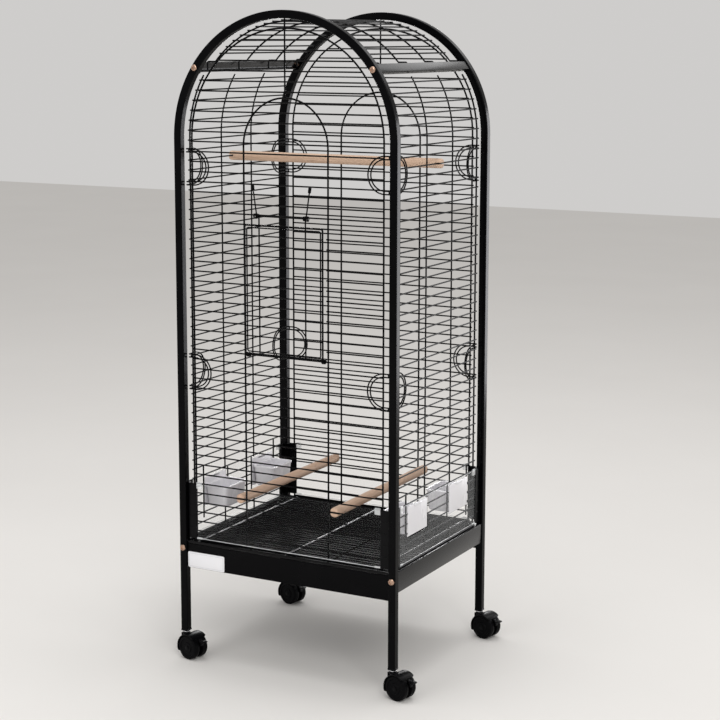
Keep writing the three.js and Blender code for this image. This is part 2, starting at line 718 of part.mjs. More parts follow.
function casterBody() {
  const hoodHalf = WHEEL_OUT + 1;
  const shell = cut(slab(sector(HOOD, 48, 205, 9), [-hoodHalf, hoodHalf]), [axleRod(HOOD - HOOD_SHEET, 60, 20)]);
  const web = join([axleRod(HOOD - HOOD_SHEET - 8, WEB_HALF), slab(sector(HOOD - 1, 50, 203, 9), [-WEB_HALF, WEB_HALF])]);
  const neck = rod(at(0, 0, WHEEL + 6), at(0, 0, LEG_FOOT - GAP - 2), 8, 12);
  const collar = rod(at(0, 0, LEG_FOOT - GAP - 3), at(0, 0, LEG_FOOT - GAP), 6.8, 12);
  const stem = rod(at(0, 0, LEG_FOOT - 4), at(0, 0, LEG_FOOT + STEM_DEPTH), STEM, 10);
  const room = [-1, 1].map((s) => {
    const [a, b] = [s * WEB_HALF, s * (WHEEL_OUT + RUN)];
    return rod(at(TRAIL, Math.min(a, b), WHEEL), at(TRAIL, Math.max(a, b), WHEEL), WHEEL + 0.7, 20);
  });
  return cut(join([shell, web, neck, collar, stem]), [...room, axleRod(AXLE + RUN, 30, 10)]);
}

// Where the brake lever turns, in the caster's frame.
const LEVER_PIVOT = { x: TRAIL + (HOOD - 2) * Math.cos(rad(44)), z: WHEEL + (HOOD - 2) * Math.sin(rad(44)) };

function brakeLever() {
  const half = WEB_HALF - RUN;
  const blade = cut(slab(sector(HOOD, 12, 44, 4), [-half, half]), [axleRod(HOOD - 3, 30, 24)]);
  const x = LEVER_PIVOT.x;
  const z = [LEVER_PIVOT.z - 4, LEVER_PIVOT.z - 1.5];
  const root = block([x + 1.5, x + 7], [-half, half], z);
  const tab = block([x + 6, x + 18], [-8, 8], z);
  return join([blade, root, tab]);
}

function addCasters() {
  const bodies = { caster: casterBody(), wheels: wheelPair(), brake: brakeLever() };
  for (const [endName, end] of Object.entries(ENDS)) {
    for (const [sideName, side] of Object.entries(SIDES)) {
      const place = new THREE.Group();
      place.position.set(side * HALF_W, end * HALF_D, 0);
      place.rotation.z = rad(CASTER_YAW);
      for (const [kind, body] of Object.entries(bodies)) {
        place.add(meshOf(`${kind}_${endName}_${sideName}`, body, BLACK_PLASTIC));
      }
      cage.add(place);
    }
  }
}

function addByCorner() {
  for (const [endName, end] of Object.entries(ENDS)) {
    for (const [sideName, side] of Object.entries(SIDES)) {
      const corner = `${endName}_${sideName}`;
      add(`guard_bracket_${corner}`, cornerBracket(side, end), BLACK_PLASTIC);
      add(`cup_${corner}`, cup(side, end), WHITE_PLASTIC);
      for (const level of Object.keys(CLIP_LEVELS)) {
        add(`clip_${corner}_${level}`, cornerClip(side, end, level), BLACK_WIRE);
      }
    }
  }
}

function build() {
  for (const [name, end] of Object.entries(ENDS)) {
    add(`${name}_arch_tube`, archTube(end), BLACK_STEEL);
    add(`${name}_panel`, endPanel(end), BLACK_WIRE);
    add(`${name}_guard`, endGuard(end), CLEAR_PLASTIC);
  }
  for (const [name, side] of Object.entries(SIDES)) {
    add(`${name}_top_rail`, topRail(side), BLACK_STEEL);
    add(`${name}_base_rail`, baseRail(side), BLACK_STEEL);
    add(`${name}_panel`, sidePanel(side), BLACK_WIRE);
    add(`${name}_guard`, sideGuard(side), CLEAR_PLASTIC);
  }
  add('rear_skirt', rearSkirt(), BLACK_STEEL);
  add('drawer_tray', drawerTray(), BLACK_STEEL);
  add('name_plate', namePlate(), PLATE);
  add('floor_grate', floorGrate(), BLACK_WIRE);
  add('roof_panel', roofPanel(), BLACK_WIRE);
  add('front_door', frontDoor(), BLACK_WIRE);
  add('door_latch', doorLatch(), BLACK_WIRE);
  addByCorner();
  addPerches();
  addBolts();
  addCasters();
}

build();

// The casters trail to one side, so the group is centred on its own box.
const model = new THREE.Group();
model.add(cage);
const box = new THREE.Box3().setFromObject(model);
const centre = box.getCenter(new THREE.Vector3());
cage.position.set(-centre.x, -centre.y, 0);
model.updateMatrixWorld(true);

export default model;
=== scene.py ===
"""The finished look of a bird cage on a stand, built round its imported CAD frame.

Lengths are in metres. Points are worked out from the middle of the frame at floor level, with X to the
right along the front, Y to the back and Z up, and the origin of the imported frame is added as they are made.
"""

import json
import logging
import math
from dataclasses import dataclass
from enum import Enum
from typing import Iterable, Sequence

import bmesh
import bpy
from mathutils import Matrix, Vector

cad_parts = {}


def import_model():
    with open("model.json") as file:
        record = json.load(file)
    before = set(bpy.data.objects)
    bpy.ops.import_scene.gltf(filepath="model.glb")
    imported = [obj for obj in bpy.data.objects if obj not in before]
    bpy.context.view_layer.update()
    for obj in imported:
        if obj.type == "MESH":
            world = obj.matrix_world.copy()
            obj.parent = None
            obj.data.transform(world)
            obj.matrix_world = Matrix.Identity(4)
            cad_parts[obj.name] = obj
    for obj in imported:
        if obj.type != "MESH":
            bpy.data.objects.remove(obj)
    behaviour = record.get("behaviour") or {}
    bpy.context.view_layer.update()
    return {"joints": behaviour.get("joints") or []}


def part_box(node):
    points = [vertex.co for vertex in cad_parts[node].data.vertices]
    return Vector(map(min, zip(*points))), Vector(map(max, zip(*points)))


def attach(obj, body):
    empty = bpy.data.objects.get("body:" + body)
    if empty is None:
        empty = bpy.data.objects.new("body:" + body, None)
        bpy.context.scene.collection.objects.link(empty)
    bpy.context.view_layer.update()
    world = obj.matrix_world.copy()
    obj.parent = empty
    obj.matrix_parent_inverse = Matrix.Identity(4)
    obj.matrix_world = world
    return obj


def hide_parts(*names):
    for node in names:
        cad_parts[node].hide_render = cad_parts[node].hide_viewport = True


log = logging.getLogger("bird_cage")

Point = tuple[float, float, float]
Colour = tuple[float, float, float]
Pair = tuple[float, float]

END = {"front": -1, "rear": 1}
SIDE = {"left": -1, "right": 1}
CORNERS = [(end, side) for end in END for side in SIDE]
LEVELS = ("lower", "upper")

# The gap between parts that stand close to each other without touching.
CLEARANCE = 0.0003


class Slot(Enum):
    """The material slots of the record."""

    FRAME = "black_frame"
    WIRE = "black_wire"
    CASTER = "caster_plastic"
    WHEEL = "wheel_tread"
    BRACKET = "bracket_plastic"
    CLEAR = "clear_plastic"
    CUP = "cup_plastic"
    BOLT = "copper_bolt"
    WOOD = "perch_wood"
    PLATE = "blank_plate"


class Grain(Enum):
    """Which way the grain of a turned perch runs."""

    ALONG_X = (5.0, 420.0, 420.0)
    ALONG_Y = (420.0, 5.0, 420.0)


# ---------------------------------------------------------------- shader expressions


class Value:
    """A socket that carries numbers, with arithmetic that adds Math nodes."""

    def __init__(self, graph: "Graph", socket: bpy.types.NodeSocket) -> None:
        """Wraps a socket of one graph."""
        self.graph = graph
        self.socket = socket

    def _math(self, operation: str, first: object, second: object) -> "Value":
        """One Math node of two terms."""
        node = self.graph.node("ShaderNodeMath", {"operation": operation}, {0: first, 1: second})
        return Value(self.graph, node.outputs[0])

    def __add__(self, other: object) -> "Value":
        """self + other."""
        return self._math("ADD", self, other)

    __radd__ = __add__

    def __sub__(self, other: object) -> "Value":
        """self - other."""
        return self._math("SUBTRACT", self, other)

    def __rsub__(self, other: object) -> "Value":
        """other - self."""
        return self._math("SUBTRACT", other, self)

    def __mul__(self, other: object) -> "Value":
        """self * other."""
        return self._math("MULTIPLY", self, other)

    __rmul__ = __mul__

    def __pow__(self, other: object) -> "Value":
        """self ** other."""
        return self._math("POWER", self, other)

    def above(self, low: float, high: float) -> "Value":
        """A smooth step.

        Args:
            low: where it leaves 0.
            high: where it reaches 1.

        Returns:
            The step, from 0 to 1.
        """
        limits = {"From Min": low, "From Max": high, "To Min": 0.0, "To Max": 1.0}
        settings = {"interpolation_type": "SMOOTHSTEP"}
        node = self.graph.node("ShaderNodeMapRange", settings, {"Value": self, **limits})
        return Value(self.graph, node.outputs[0])


class Graph:
    """The node tree of one material."""

    def __init__(self, name: str) -> None:
        """Starts an empty material.

        Args:
            name: the material's name.
        """
        self.material = bpy.data.materials.new(name)
        self.material.use_nodes = True
        self.tree = self.material.node_tree
        self.tree.nodes.clear()

    def node(self, kind: str, settings: dict, values: dict) -> bpy.types.Node:
        """Adds one node.

        Args:
            kind: the node's type name.
            settings: attributes, set before anything else.
            values: a value or a link for each input socket, by name or index.

        Returns:
            The node.
        """
        made = self.tree.nodes.new(kind)
        for key, value in settings.items():
            setattr(made, key, value)
        for key, value in values.items():
            self.feed(made.inputs[key], value)
        return made

    def feed(self, socket: bpy.types.NodeSocket, value: object) -> None:
        """Links a socket to another, or sets its own number or colour.

        Args:
            socket: the input to feed.
            value: a socket to link, or what the input itself is set to.
        """
        if isinstance(value, Value):
            self.tree.links.new(value.socket, socket)
        elif isinstance(value, bpy.types.NodeSocket):
            self.tree.links.new(value, socket)
        elif isinstance(value, tuple) and len(value) == 3 and socket.type == "RGBA":
            socket.default_value = (*value, 1.0)
        else:
            socket.default_value = value

    def place(self, scale: Point = (1.0, 1.0, 1.0)) -> bpy.types.NodeSocket:
        """The point on the piece in metres, stretched along each axis.

        Args:
            scale: the stretch along X, Y and Z.

        Returns:
            The point's socket.
        """
        coordinates = self.node("ShaderNodeTexCoord", {}, {}).outputs["Object"]
        if scale == (1.0, 1.0, 1.0):
            return coordinates
        settings = {"operation": "MULTIPLY"}
        return self.node("ShaderNodeVectorMath", settings, {0: coordinates, 1: scale}).outputs[0]

    def noise(self, vector: bpy.types.NodeSocket, scale: float, detail: float = 2.0) -> Value:
        """Cloudy noise from 0 to 1."""
        values = {"Vector": vector, "Scale": scale, "Detail": detail, "Roughness": 0.55}
        return Value(self, self.node("ShaderNodeTexNoise", {}, values).outputs[0])

    def mix(self, first: object, second: object, share: object) -> bpy.types.NodeSocket:
        """A colour between two.

        Args:
            first: the colour where the share is 0.
            second: the colour where it is 1.
            share: the share of the second.

        Returns:
            The mixed colour's socket.
        """
        node = self.node("ShaderNodeMix", {"data_type": "RGBA"}, {})
        self.feed(node.inputs[0], share)
        self.feed(node.inputs[6], first)
        self.feed(node.inputs[7], second)
        return node.outputs[2]

    def bump(self, height: Value, strength: float, distance: float) -> bpy.types.NodeSocket:
        """A normal bent by a height, given the height's size in metres."""
        values = {"Height": height, "Strength": strength, "Distance": distance}
        return self.node("ShaderNodeBump", {}, values).outputs[0]

    def finish(self, shader: bpy.types.NodeSocket) -> bpy.types.Material:
        """Ends the graph with its output and gives the material."""
        self.node("ShaderNodeOutputMaterial", {}, {"Surface": shader})
        return self.material

    def principled(self, varying: dict, constant: dict) -> bpy.types.Material:
        """A Principled surface.

        Args:
            varying: what changes over the surface, by socket name.
            constant: what is the same all over, set on the sockets.

        Returns:
            The finished material.
        """
        node = self.node("ShaderNodeBsdfPrincipled", {}, {**constant, **varying})
        return self.finish(node.outputs[0])


# ---------------------------------------------------------------- finishes


@dataclass(frozen=True)
class PowderCoat:
    """Baked black coating on steel, with a fine orange peel and faint dust."""

    name: str
    colour: Colour = (0.0014, 0.0014, 0.0018)
    worn: Colour = (0.0045, 0.0045, 0.0052)
    roughness: float = 0.2
    gloss: float = 0.055
    peel: float = 900.0
    depth: float = 0.00008

    def material(self) -> bpy.types.Material:
        """Builds the node material.

        Returns:
            The material.
        """
        g = Graph(self.name)
        place = g.place()
        cloud = g.noise(place, 14.0, 3.0)
        dust = g.noise(place, 260.0, 4.0)
        peel = g.noise(place, self.peel, 1.0)
        wear = cloud.above(0.45, 0.8) * 0.4 + dust.above(0.62, 0.8) * 0.3
        colour = g.mix(self.colour, self.worn, wear)
        rough = self.roughness + (cloud - 0.5) * 0.12 + dust.above(0.55, 0.75) * 0.08
        varying = {"Base Color": colour, "Roughness": rough, "Normal": g.bump(peel, 0.4, self.depth)}
        return g.principled(varying, {"Specular IOR Level": self.gloss})


@dataclass(frozen=True)
class MouldedPlastic:
    """Black moulded plastic with a spark-eroded grain and a little scuffing."""

    name: str
    colour: Colour = (0.002, 0.002, 0.0025)
    scuffed: Colour = (0.007, 0.007, 0.008)
    roughness: float = 0.32
    gloss: float = 0.09
    grain: float = 1500.0

    def material(self) -> bpy.types.Material:
        """Builds the node material.

        Returns:
            The material.
        """
        g = Graph(self.name)
        place = g.place()
        cloud = g.noise(place, 45.0, 3.0)
        scuff = g.noise(g.place((90.0, 90.0, 600.0)), 1.0, 5.0)
        grain = g.noise(place, self.grain, 2.0)
        marks = cloud.above(0.5, 0.85) * 0.3 + scuff.above(0.62, 0.8) * 0.35
        colour = g.mix(self.colour, self.scuffed, marks)
        rough = self.roughness + (cloud - 0.5) * 0.2 - scuff.above(0.6, 0.8) * 0.08
        varying = {"Base Color": colour, "Roughness": rough, "Normal": g.bump(grain, 0.35, 0.0001)}
        return g.principled(varying, {"Specular IOR Level": self.gloss})


@dataclass(frozen=True)
class ClearSheet:
    """Clear acrylic that shows as a faint veil, with a painted sheen that makes the veil paler and denser at
    a grazing angle.
    """

    name: str
    colour: Colour = (0.80, 0.83, 0.85)
    smeared: Colour = (0.93, 0.94, 0.95)
    veil: float = 0.002
    grazing_sheen: float = 0.27

    def material(self) -> bpy.types.Material:
        """Builds the node material.

        Returns:
            The material.
        """
        g = Graph(self.name)
        place = g.place()
        smear = g.noise(place, 16.0, 4.0)
        wave = g.noise(place, 30.0, 1.0)
        facing = Value(g, g.node("ShaderNodeLayerWeight", {}, {"Blend": 0.35}).outputs["Facing"])
        # The facing term is a painted sheen: the pale colour grows more opaque where the sheet is seen
        # edge-on, standing in for its reflection.
        alpha = self.veil + facing ** 2.0 * self.grazing_sheen + smear.above(0.5, 0.8) * 0.006
        colour = g.mix(self.colour, self.smeared, smear)
        rough = 0.08 + smear * 0.1
        varying = {
            "Base Color": colour, "Roughness": rough, "Alpha": alpha,
            "Normal": g.bump(wave, 0.2, 0.0006),
        }
        material = g.principled(varying, {"Specular IOR Level": 0.7})
        material.blend_method = "BLEND"
        return material


@dataclass(frozen=True)
class MilkyPlastic:
    """White translucent moulded plastic."""

    name: str
    colour: Colour = (0.77, 0.76, 0.80)
    paler: Colour = (0.86, 0.85, 0.88)

    def material(self) -> bpy.types.Material:
        """Builds the node material.

        Returns:
            The material.
        """
        g = Graph(self.name)
        place = g.place()
        flow = g.noise(g.place((30.0, 30.0, 9.0)), 1.0, 3.0)
        fine = g.noise(place, 700.0, 2.0)
        colour = g.mix(self.colour, self.paler, flow)
        rough = 0.26 + (flow - 0.5) * 0.18
        varying = {"Base Color": colour, "Roughness": rough, "Normal": g.bump(fine, 0.2, 0.00008)}
        constant = {
            "Subsurface Weight": 0.35, "Subsurface Scale": 0.004, "Subsurface Radius": (1.0, 0.95, 1.0),
        }
        return g.principled(varying, constant)


@dataclass(frozen=True)
class CopperPlate:
    """Copper plating, brighter where it is rubbed."""

    name: str
    colour: Colour = (0.36, 0.21, 0.145)
    bright: Colour = (0.66, 0.47, 0.36)

    def material(self) -> bpy.types.Material:
        """Builds the node material.

        Returns:
            The material.
        """
        g = Graph(self.name)
        place = g.place()
        stain = g.noise(place, 320.0, 4.0)
        brushed = g.noise(g.place((2600.0, 300.0, 300.0)), 1.0, 2.0)
        colour = g.mix(self.colour, self.bright, stain)
        rough = 0.24 + stain.above(0.45, 0.75) * 0.22
        varying = {"Base Color": colour, "Roughness": rough, "Normal": g.bump(brushed, 0.25, 0.00005)}
        return g.principled(varying, {"Metallic": 1.0})


@dataclass(frozen=True)
class TurnedWood:
    """A bare sanded dowel with long grain, fine pores and a few darker streaks."""

    name: str
    grain: Grain
    pale: Colour
    deep: Colour
    rosy: Colour = (0.43, 0.26, 0.185)
    pore: Colour = (0.16, 0.075, 0.04)

    def material(self) -> bpy.types.Material:
        """Builds the node material.

        Returns:
            The material.
        """
        g = Graph(self.name)
        x, y, z = self.grain.value
        broad = g.noise(g.place((x * 0.5, y * 0.22, z * 0.22)), 0.8, 3.0)
        fine = g.noise(g.place((x * 2.4, y * 2.4, z * 2.4)), 1.0, 4.0)
        pores = g.noise(g.place((x * 6.0, y * 5.0, z * 5.0)), 1.0, 2.0)
        blush = g.noise(g.place(), 11.0, 2.0)
        streaks = broad.above(0.32, 0.72) * 0.65 + fine.above(0.4, 0.75) * 0.35
        tone = g.mix(self.pale, self.deep, streaks)
        flushed = g.mix(tone, self.rosy, blush.above(0.5, 0.8) * 0.35)
        colour = g.mix(flushed, self.pore, pores.above(0.62, 0.78) * 0.55)
        rough = 0.58 + fine * 0.2
        height = fine * 0.6 - pores.above(0.6, 0.75) * 0.8
        varying = {"Base Color": colour, "Roughness": rough, "Normal": g.bump(height, 0.5, 0.00025)}
        return g.principled(varying, {"Specular IOR Level": 0.3})


@dataclass(frozen=True)
class PlainLabel:
    """A blank pale plate of lightly textured card under film."""

    name: str
    colour: Colour = (0.80, 0.80, 0.82)
    shaded: Colour = (0.70, 0.70, 0.73)

    def material(self) -> bpy.types.Material:
        """Builds the node material.

        Returns:
            The material.
        """
        g = Graph(self.name)
        fibre = g.noise(g.place(), 900.0, 3.0)
        shade = g.noise(g.place(), 28.0, 2.0)
        colour = g.mix(self.colour, self.shaded, shade * 0.5 + fibre * 0.3)
        rough = 0.34 + fibre * 0.2
        varying = {"Base Color": colour, "Roughness": rough, "Normal": g.bump(fibre, 0.2, 0.00005)}
        return g.principled(varying, {"Coat Weight": 0.3, "Coat Roughness": 0.15})


# ---------------------------------------------------------------- shapes


def arc(
    radius: float, centre_z: float, start: float, stop: float, steps: int, y: float = 0.0,
) -> list[Vector]:
    """Points of an arc in the XZ plane.

    Args:
        radius: the arc's radius.
        centre_z: the height of its centre, which has x = 0.
        start: first angle, in degrees from +X towards +Z.
        stop: last angle.
        steps: how many straight pieces it is cut into.
        y: the plane it lies in.

    Returns:
        steps + 1 points.
    """
    turns = [math.radians(start + (stop - start) * i / steps) for i in range(steps + 1)]
    return [Vector((radius * math.cos(t), y, centre_z + radius * math.sin(t))) for t in turns]


def rounded(points: Sequence[Vector], radius: float, steps: int = 4) -> list[Vector]:
    """A broken line with each inner corner turned by a smooth bend.

    Args:
        points: the broken line.
        radius: how far from its corner each bend starts.
        steps: how many straight pieces a bend is cut into.

    Returns:
        The line with its bends.
    """
    path = [points[0]]
    for before, here, after in zip(points, points[1:], points[2:]):
        back, on = before - here, after - here
        reach = min(radius, back.length / 2, on.length / 2)
        first, last = here + back.normalized() * reach, here + on.normalized() * reach
        for i in range(steps + 1):
            t = i / steps
            path.append(first * (1 - t) ** 2 + here * 2 * t * (1 - t) + last * t**2)
    path.append(points[-1])
    return path


def rounded_outline(half_u: float, half_v: float, radius: float, steps: int = 4) -> list[Pair]:
    """The outline of a rectangle with round corners, about its middle.

    Args:
        half_u: half its length along the first axis.
        half_v: half its length along the second.
        radius: the radius of its corners.
        steps: how many straight pieces a corner is cut into.

    Returns:
        Its points, in order.
    """
    outline = []
    for quarter, (su, sv) in enumerate([(1, 1), (-1, 1), (-1, -1), (1, -1)]):
        for i in range(steps + 1):
            turn = math.radians(90 * quarter + 90 * i / steps)
            u = su * (half_u - radius) + radius * math.cos(turn)
            outline.append((u, sv * (half_v - radius) + radius * math.sin(turn)))
    return outline


def ordered(one: Point, other: Point) -> tuple[Vector, Vector]:
    """The low and high corners of the box between two points."""
    low = Vector([min(p, q) for p, q in zip(one, other)])
    return low, Vector([max(p, q) for p, q in zip(one, other)])


def near_and_far(one: float, other: float) -> Pair:
    """Two places along an axis as distances from the middle, the nearer one first."""
    return min(abs(one), abs(other)), max(abs(one), abs(other))


def node_box(node: str) -> tuple[Vector, Vector]:
    """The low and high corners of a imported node, from the middle of the cage."""
    low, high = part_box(node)
    return Vector(low) - Maker.origin, Vector(high) - Maker.origin


class Maker:
    """Collects the closed bodies of one piece and turns them into an object."""

    origin = Vector((0.0, 0.0, 0.0))
    coil_steps = 12

    def __init__(self, place: Matrix | None = None) -> None:
        """Starts an empty piece.

        Args:
            place: where the piece's points are moved to, before the origin is added.
        """
        self.place = place or Matrix.Identity(4)
        self.vertices: list[Vector] = []
        self.faces: list[tuple[int, ...]] = []

    def loft(self, loops: Sequence[Sequence[Vector]], closed: bool = False) -> None:
        """Skins a row of loops that have as many points each.

        Args:
            loops: the loops, in order.
            closed: joins the last loop to the first; otherwise both ends are capped.
        """
        start, size = len(self.vertices), len(loops[0])
        for loop in loops:
            self.vertices += [Maker.origin + self.place @ Vector(p) for p in loop]
        rows = len(loops) if closed else len(loops) - 1
        for row in range(rows):
            here, there = start + row * size, start + ((row + 1) % len(loops)) * size
            for i in range(size):
                j = (i + 1) % size
                self.faces.append((here + i, here + j, there + j, there + i))
        if not closed:
            self.faces.append(tuple(range(start, start + size)))
            last = start + (len(loops) - 1) * size
            self.faces.append(tuple(range(last, last + size)))

    def tube(self, points: Sequence[Vector], radius: float, sides: int = 8, closed: bool = False) -> None:
        """A round wire along points, with its ends eased.

        Args:
            points: its middle line.
            radius: its radius.
            sides: how many facets go round.
            closed: whether it closes on itself.
        """
        outline = [
            (radius * math.cos(2 * math.pi * i / sides), radius * math.sin(2 * math.pi * i / sides))
            for i in range(sides)
        ]
        self.sweep(points, outline, closed=closed, ease=0.0 if closed else 0.45)

    def sweep(
        self,
        points: Sequence[Vector],
        outline: Sequence[Pair],
        closed: bool = False,
        ease: float = 0.0,
        across: Vector | None = None,
    ) -> None:
        """A section carried along points.

        Args:
            points: the path.
            outline: the section, as distances along the two cross directions.
            closed: whether the path closes on itself.
            ease: how far the ends are drawn in, as a share of the section.
            across: a direction that the section's second axis keeps; otherwise it turns as little as it can.
        """
        count = len(points)
        tangents = []
        for i, point in enumerate(points):
            before = points[i - 1] if closed or i else point
            after = points[(i + 1) % count] if closed or i < count - 1 else point
            tangents.append((after - before).normalized())
        second = across or tangents[0].orthogonal().normalized()
        loops = []
        for point, tangent in zip(points, tangents):
            second = across or (second - tangent * second.dot(tangent)).normalized()
            first = second.cross(tangent).normalized()
            loops.append([point + first * u + second * v for u, v in outline])
        if ease:
            size = max(abs(u) for u, _ in outline) * ease
            loops.insert(0, self._eased(loops[0], points[0], -tangents[0] * size, ease))
            loops.append(self._eased(loops[-1], points[-1], tangents[-1] * size, ease))
        self.loft(loops, closed)

    @staticmethod
    def _eased(loop: Sequence[Vector], middle: Vector, out: Vector, ease: float) -> list[Vector]:
        """A smaller copy of an end loop, a little further out."""
        return [middle + (p - middle) * (1 - ease) + out for p in loop]

    def wire(self, start: Point, stop: Point, radius: float, sides: int = 8) -> None:
        """A straight round wire."""
        self.tube([Vector(start), Vector(stop)], radius, sides)

    def helix(self, start: Vector, stop: Vector, radius: float, wire: float, turns: float) -> None:
        """A coil of wire round the line from start to stop.

        Args:
            start: where its axis starts.
            stop: where its axis ends.
            radius: the radius of the coil.
            wire: the radius of its wire.
            turns: how many times it goes round.
        """
        axis = (stop - start).normalized()
        first = axis.orthogonal().normalized()
        second = axis.cross(first)
        steps = int(turns * self.coil_steps)
        points = []
        for i in range(steps + 1):
            turn = 2 * math.pi * turns * i / steps
            out = first * math.cos(turn) + second * math.sin(turn)
            points.append(start.lerp(stop, i / steps) + out * radius)
        self.tube(points, wire, 6)

    def block(self, low: Point, high: Point, edge: float, steps: int = 3) -> None:
        """A box with its edges rounded.

        Args:
            low: one corner.
            high: the opposite corner.
            edge: the radius of its edges.
            steps: how many straight pieces an edge's round is cut into.
        """
        a, b = ordered(low, high)
        size, middle = b - a, (a + b) / 2
        edge = min(edge, min(size) * 0.49)
        thin = min(range(3), key=lambda i: size[i])
        u, v = [i for i in range(3) if i != thin]
        loops = []
        levels = [math.radians(90 * i / steps) for i in range(steps + 1)]
        heights = [(-1, t) for t in levels] + [(1, math.pi / 2 - t) for t in levels]
        for sign, turn in heights:
            inset = edge * (1 - math.sin(turn))
            rise = sign * (size[thin] / 2 - edge * (1 - math.cos(turn)))
            corner = max(edge - inset, edge * 0.15)
            loop = []
            for p, q in rounded_outline(size[u] / 2 - inset, size[v] / 2 - inset, corner, steps):
                point = Vector((0.0, 0.0, 0.0))
                point[u], point[v], point[thin] = p, q, rise
                loop.append(middle + point)
            loops.append(loop)
        self.loft(loops)

    def stack(self, rows: Sequence[Pair], half: Pair, corner: float, middle: Vector) -> None:
        """Skins level outlines with round corners, one above another.

        Args:
            rows: how far each outline is grown, and its height.
            half: half the outline's length along X and along Y.
            corner: the radius of its corners.
            middle: the middle of the outlines, at height 0.
        """
        loops = []
        for growth, z in rows:
            outline = rounded_outline(half[0] + growth, half[1] + growth, corner, 5)
            loops.append([middle + Vector((u, v, z)) for u, v in outline])
        self.loft(loops)

    def lathe(self, profile: Sequence[Pair], base: Vector, axis: Vector, steps: int = 32) -> None:
        """A turned body.

        Args:
            profile: (radius, height) along the axis. It closes on itself, or is capped at both ends.
            base: the point at height 0.
            axis: which way height grows.
            steps: how many facets go round.
        """
        axis = axis.normalized()
        first = axis.orthogonal().normalized()
        second = axis.cross(first)
        closed = profile[0] == profile[-1]
        rows = profile[:-1] if closed else profile
        turns = [2 * math.pi * i / steps for i in range(steps)]
        spokes = [first * math.cos(t) + second * math.sin(t) for t in turns]
        loops = [[base + axis * height + spoke * radius for spoke in spokes] for radius, height in rows]
        self.loft(loops, closed)

    def piece(
        self, name: str, body: str, slot: Slot, material: bpy.types.Material, replaced: Iterable[str] = (),
        smooth: float = 40.0,
    ) -> bpy.types.Object:
        """Ends the piece.

        Args:
            name: the object's name.
            body: the body it rides on.
            slot: the record's material slot; not used.
            material: its finish.
            replaced: the CAD nodes it stands for.
            smooth: edges sharper than this many degrees stay crisp.

        Returns:
            The object.
        """
        mesh = bpy.data.meshes.new(name)
        mesh.from_pydata([tuple(v) for v in self.vertices], [], self.faces)
        shape = bmesh.new()
        shape.from_mesh(mesh)
        bmesh.ops.remove_doubles(shape, verts=shape.verts, dist=2e-6)
        bmesh.ops.dissolve_degenerate(shape, edges=shape.edges, dist=1e-7)
        bmesh.ops.recalc_face_normals(shape, faces=shape.faces)
        limit = math.radians(smooth)
        for edge in shape.edges:
            edge.smooth = len(edge.link_faces) == 2 and edge.calc_face_angle() < limit
        for face in shape.faces:
            face.smooth = True
        shape.to_mesh(mesh)
        shape.free()
        made = bpy.data.objects.new(name, mesh)
        bpy.context.scene.collection.objects.link(made)
        made.data.materials.append(material)
        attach(made, body)
        if replaced:
            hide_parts(*replaced)
        log.info("%s rides on %s, %d faces", name, body, len(mesh.polygons))
        return made


def carve(piece: bpy.types.Object, tool: Maker) -> None:
    """Cuts the bodies of tool out of a piece, in its mesh.

    Args:
        piece: what is cut.
        tool: the bodies that are taken away.
    """
    mesh = bpy.data.meshes.new("cutter")
    mesh.from_pydata([tuple(v) for v in tool.vertices], [], tool.faces)
    shape = bmesh.new()
    shape.from_mesh(mesh)
    bmesh.ops.recalc_face_normals(shape, faces=shape.faces)
    shape.to_mesh(mesh)
    shape.free()
    cutter = bpy.data.objects.new("cutter", mesh)
    bpy.context.scene.collection.objects.link(cutter)
    modifier = piece.modifiers.new("cut", "BOOLEAN")
    modifier.operation, modifier.solver, modifier.object = "DIFFERENCE", "EXACT", cutter
    evaluated = piece.evaluated_get(bpy.context.evaluated_depsgraph_get())
    cut = bpy.data.meshes.new_from_object(evaluated)
    piece.modifiers.clear()
    piece.data = cut
    bpy.data.objects.remove(cutter)


# ---------------------------------------------------------------- the cage


@dataclass(frozen=True)
class Layout:
    """Where the frame stands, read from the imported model."""

    half_w: float
    half_d: float
    tube: float
    foot: float
    top: float
    base_top: float
    centre: Vector

    @classmethod
    def read(cls) -> "Layout":
        """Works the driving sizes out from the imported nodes.

        Returns:
            The layout.
        """
        low, high = (Vector(p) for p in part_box("front_arch_tube"))
        rear_high = Vector(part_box("rear_arch_tube")[1])
        tube = high.y - low.y
        base_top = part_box("left_base_rail")[1][2]
        centre = Vector(((low.x + high.x) / 2, (low.y + rear_high.y) / 2, 0.0))
        half_d = (rear_high.y - low.y - tube) / 2
        return cls((high.x - low.x - tube) / 2, half_d, tube, low.z, high.z, base_top, centre)

    @property
    def spring(self) -> float:
        """The height where the legs turn into the arch."""
        return self.top - self.tube / 2 - self.half_w

    @property
    def post_x(self) -> float:
        """The inner face of a post across the cage."""
        return self.half_w - self.tube / 2

    @property
    def post_y(self) -> float:
        """The inner face of a post along the cage."""
        return self.half_d - self.tube / 2


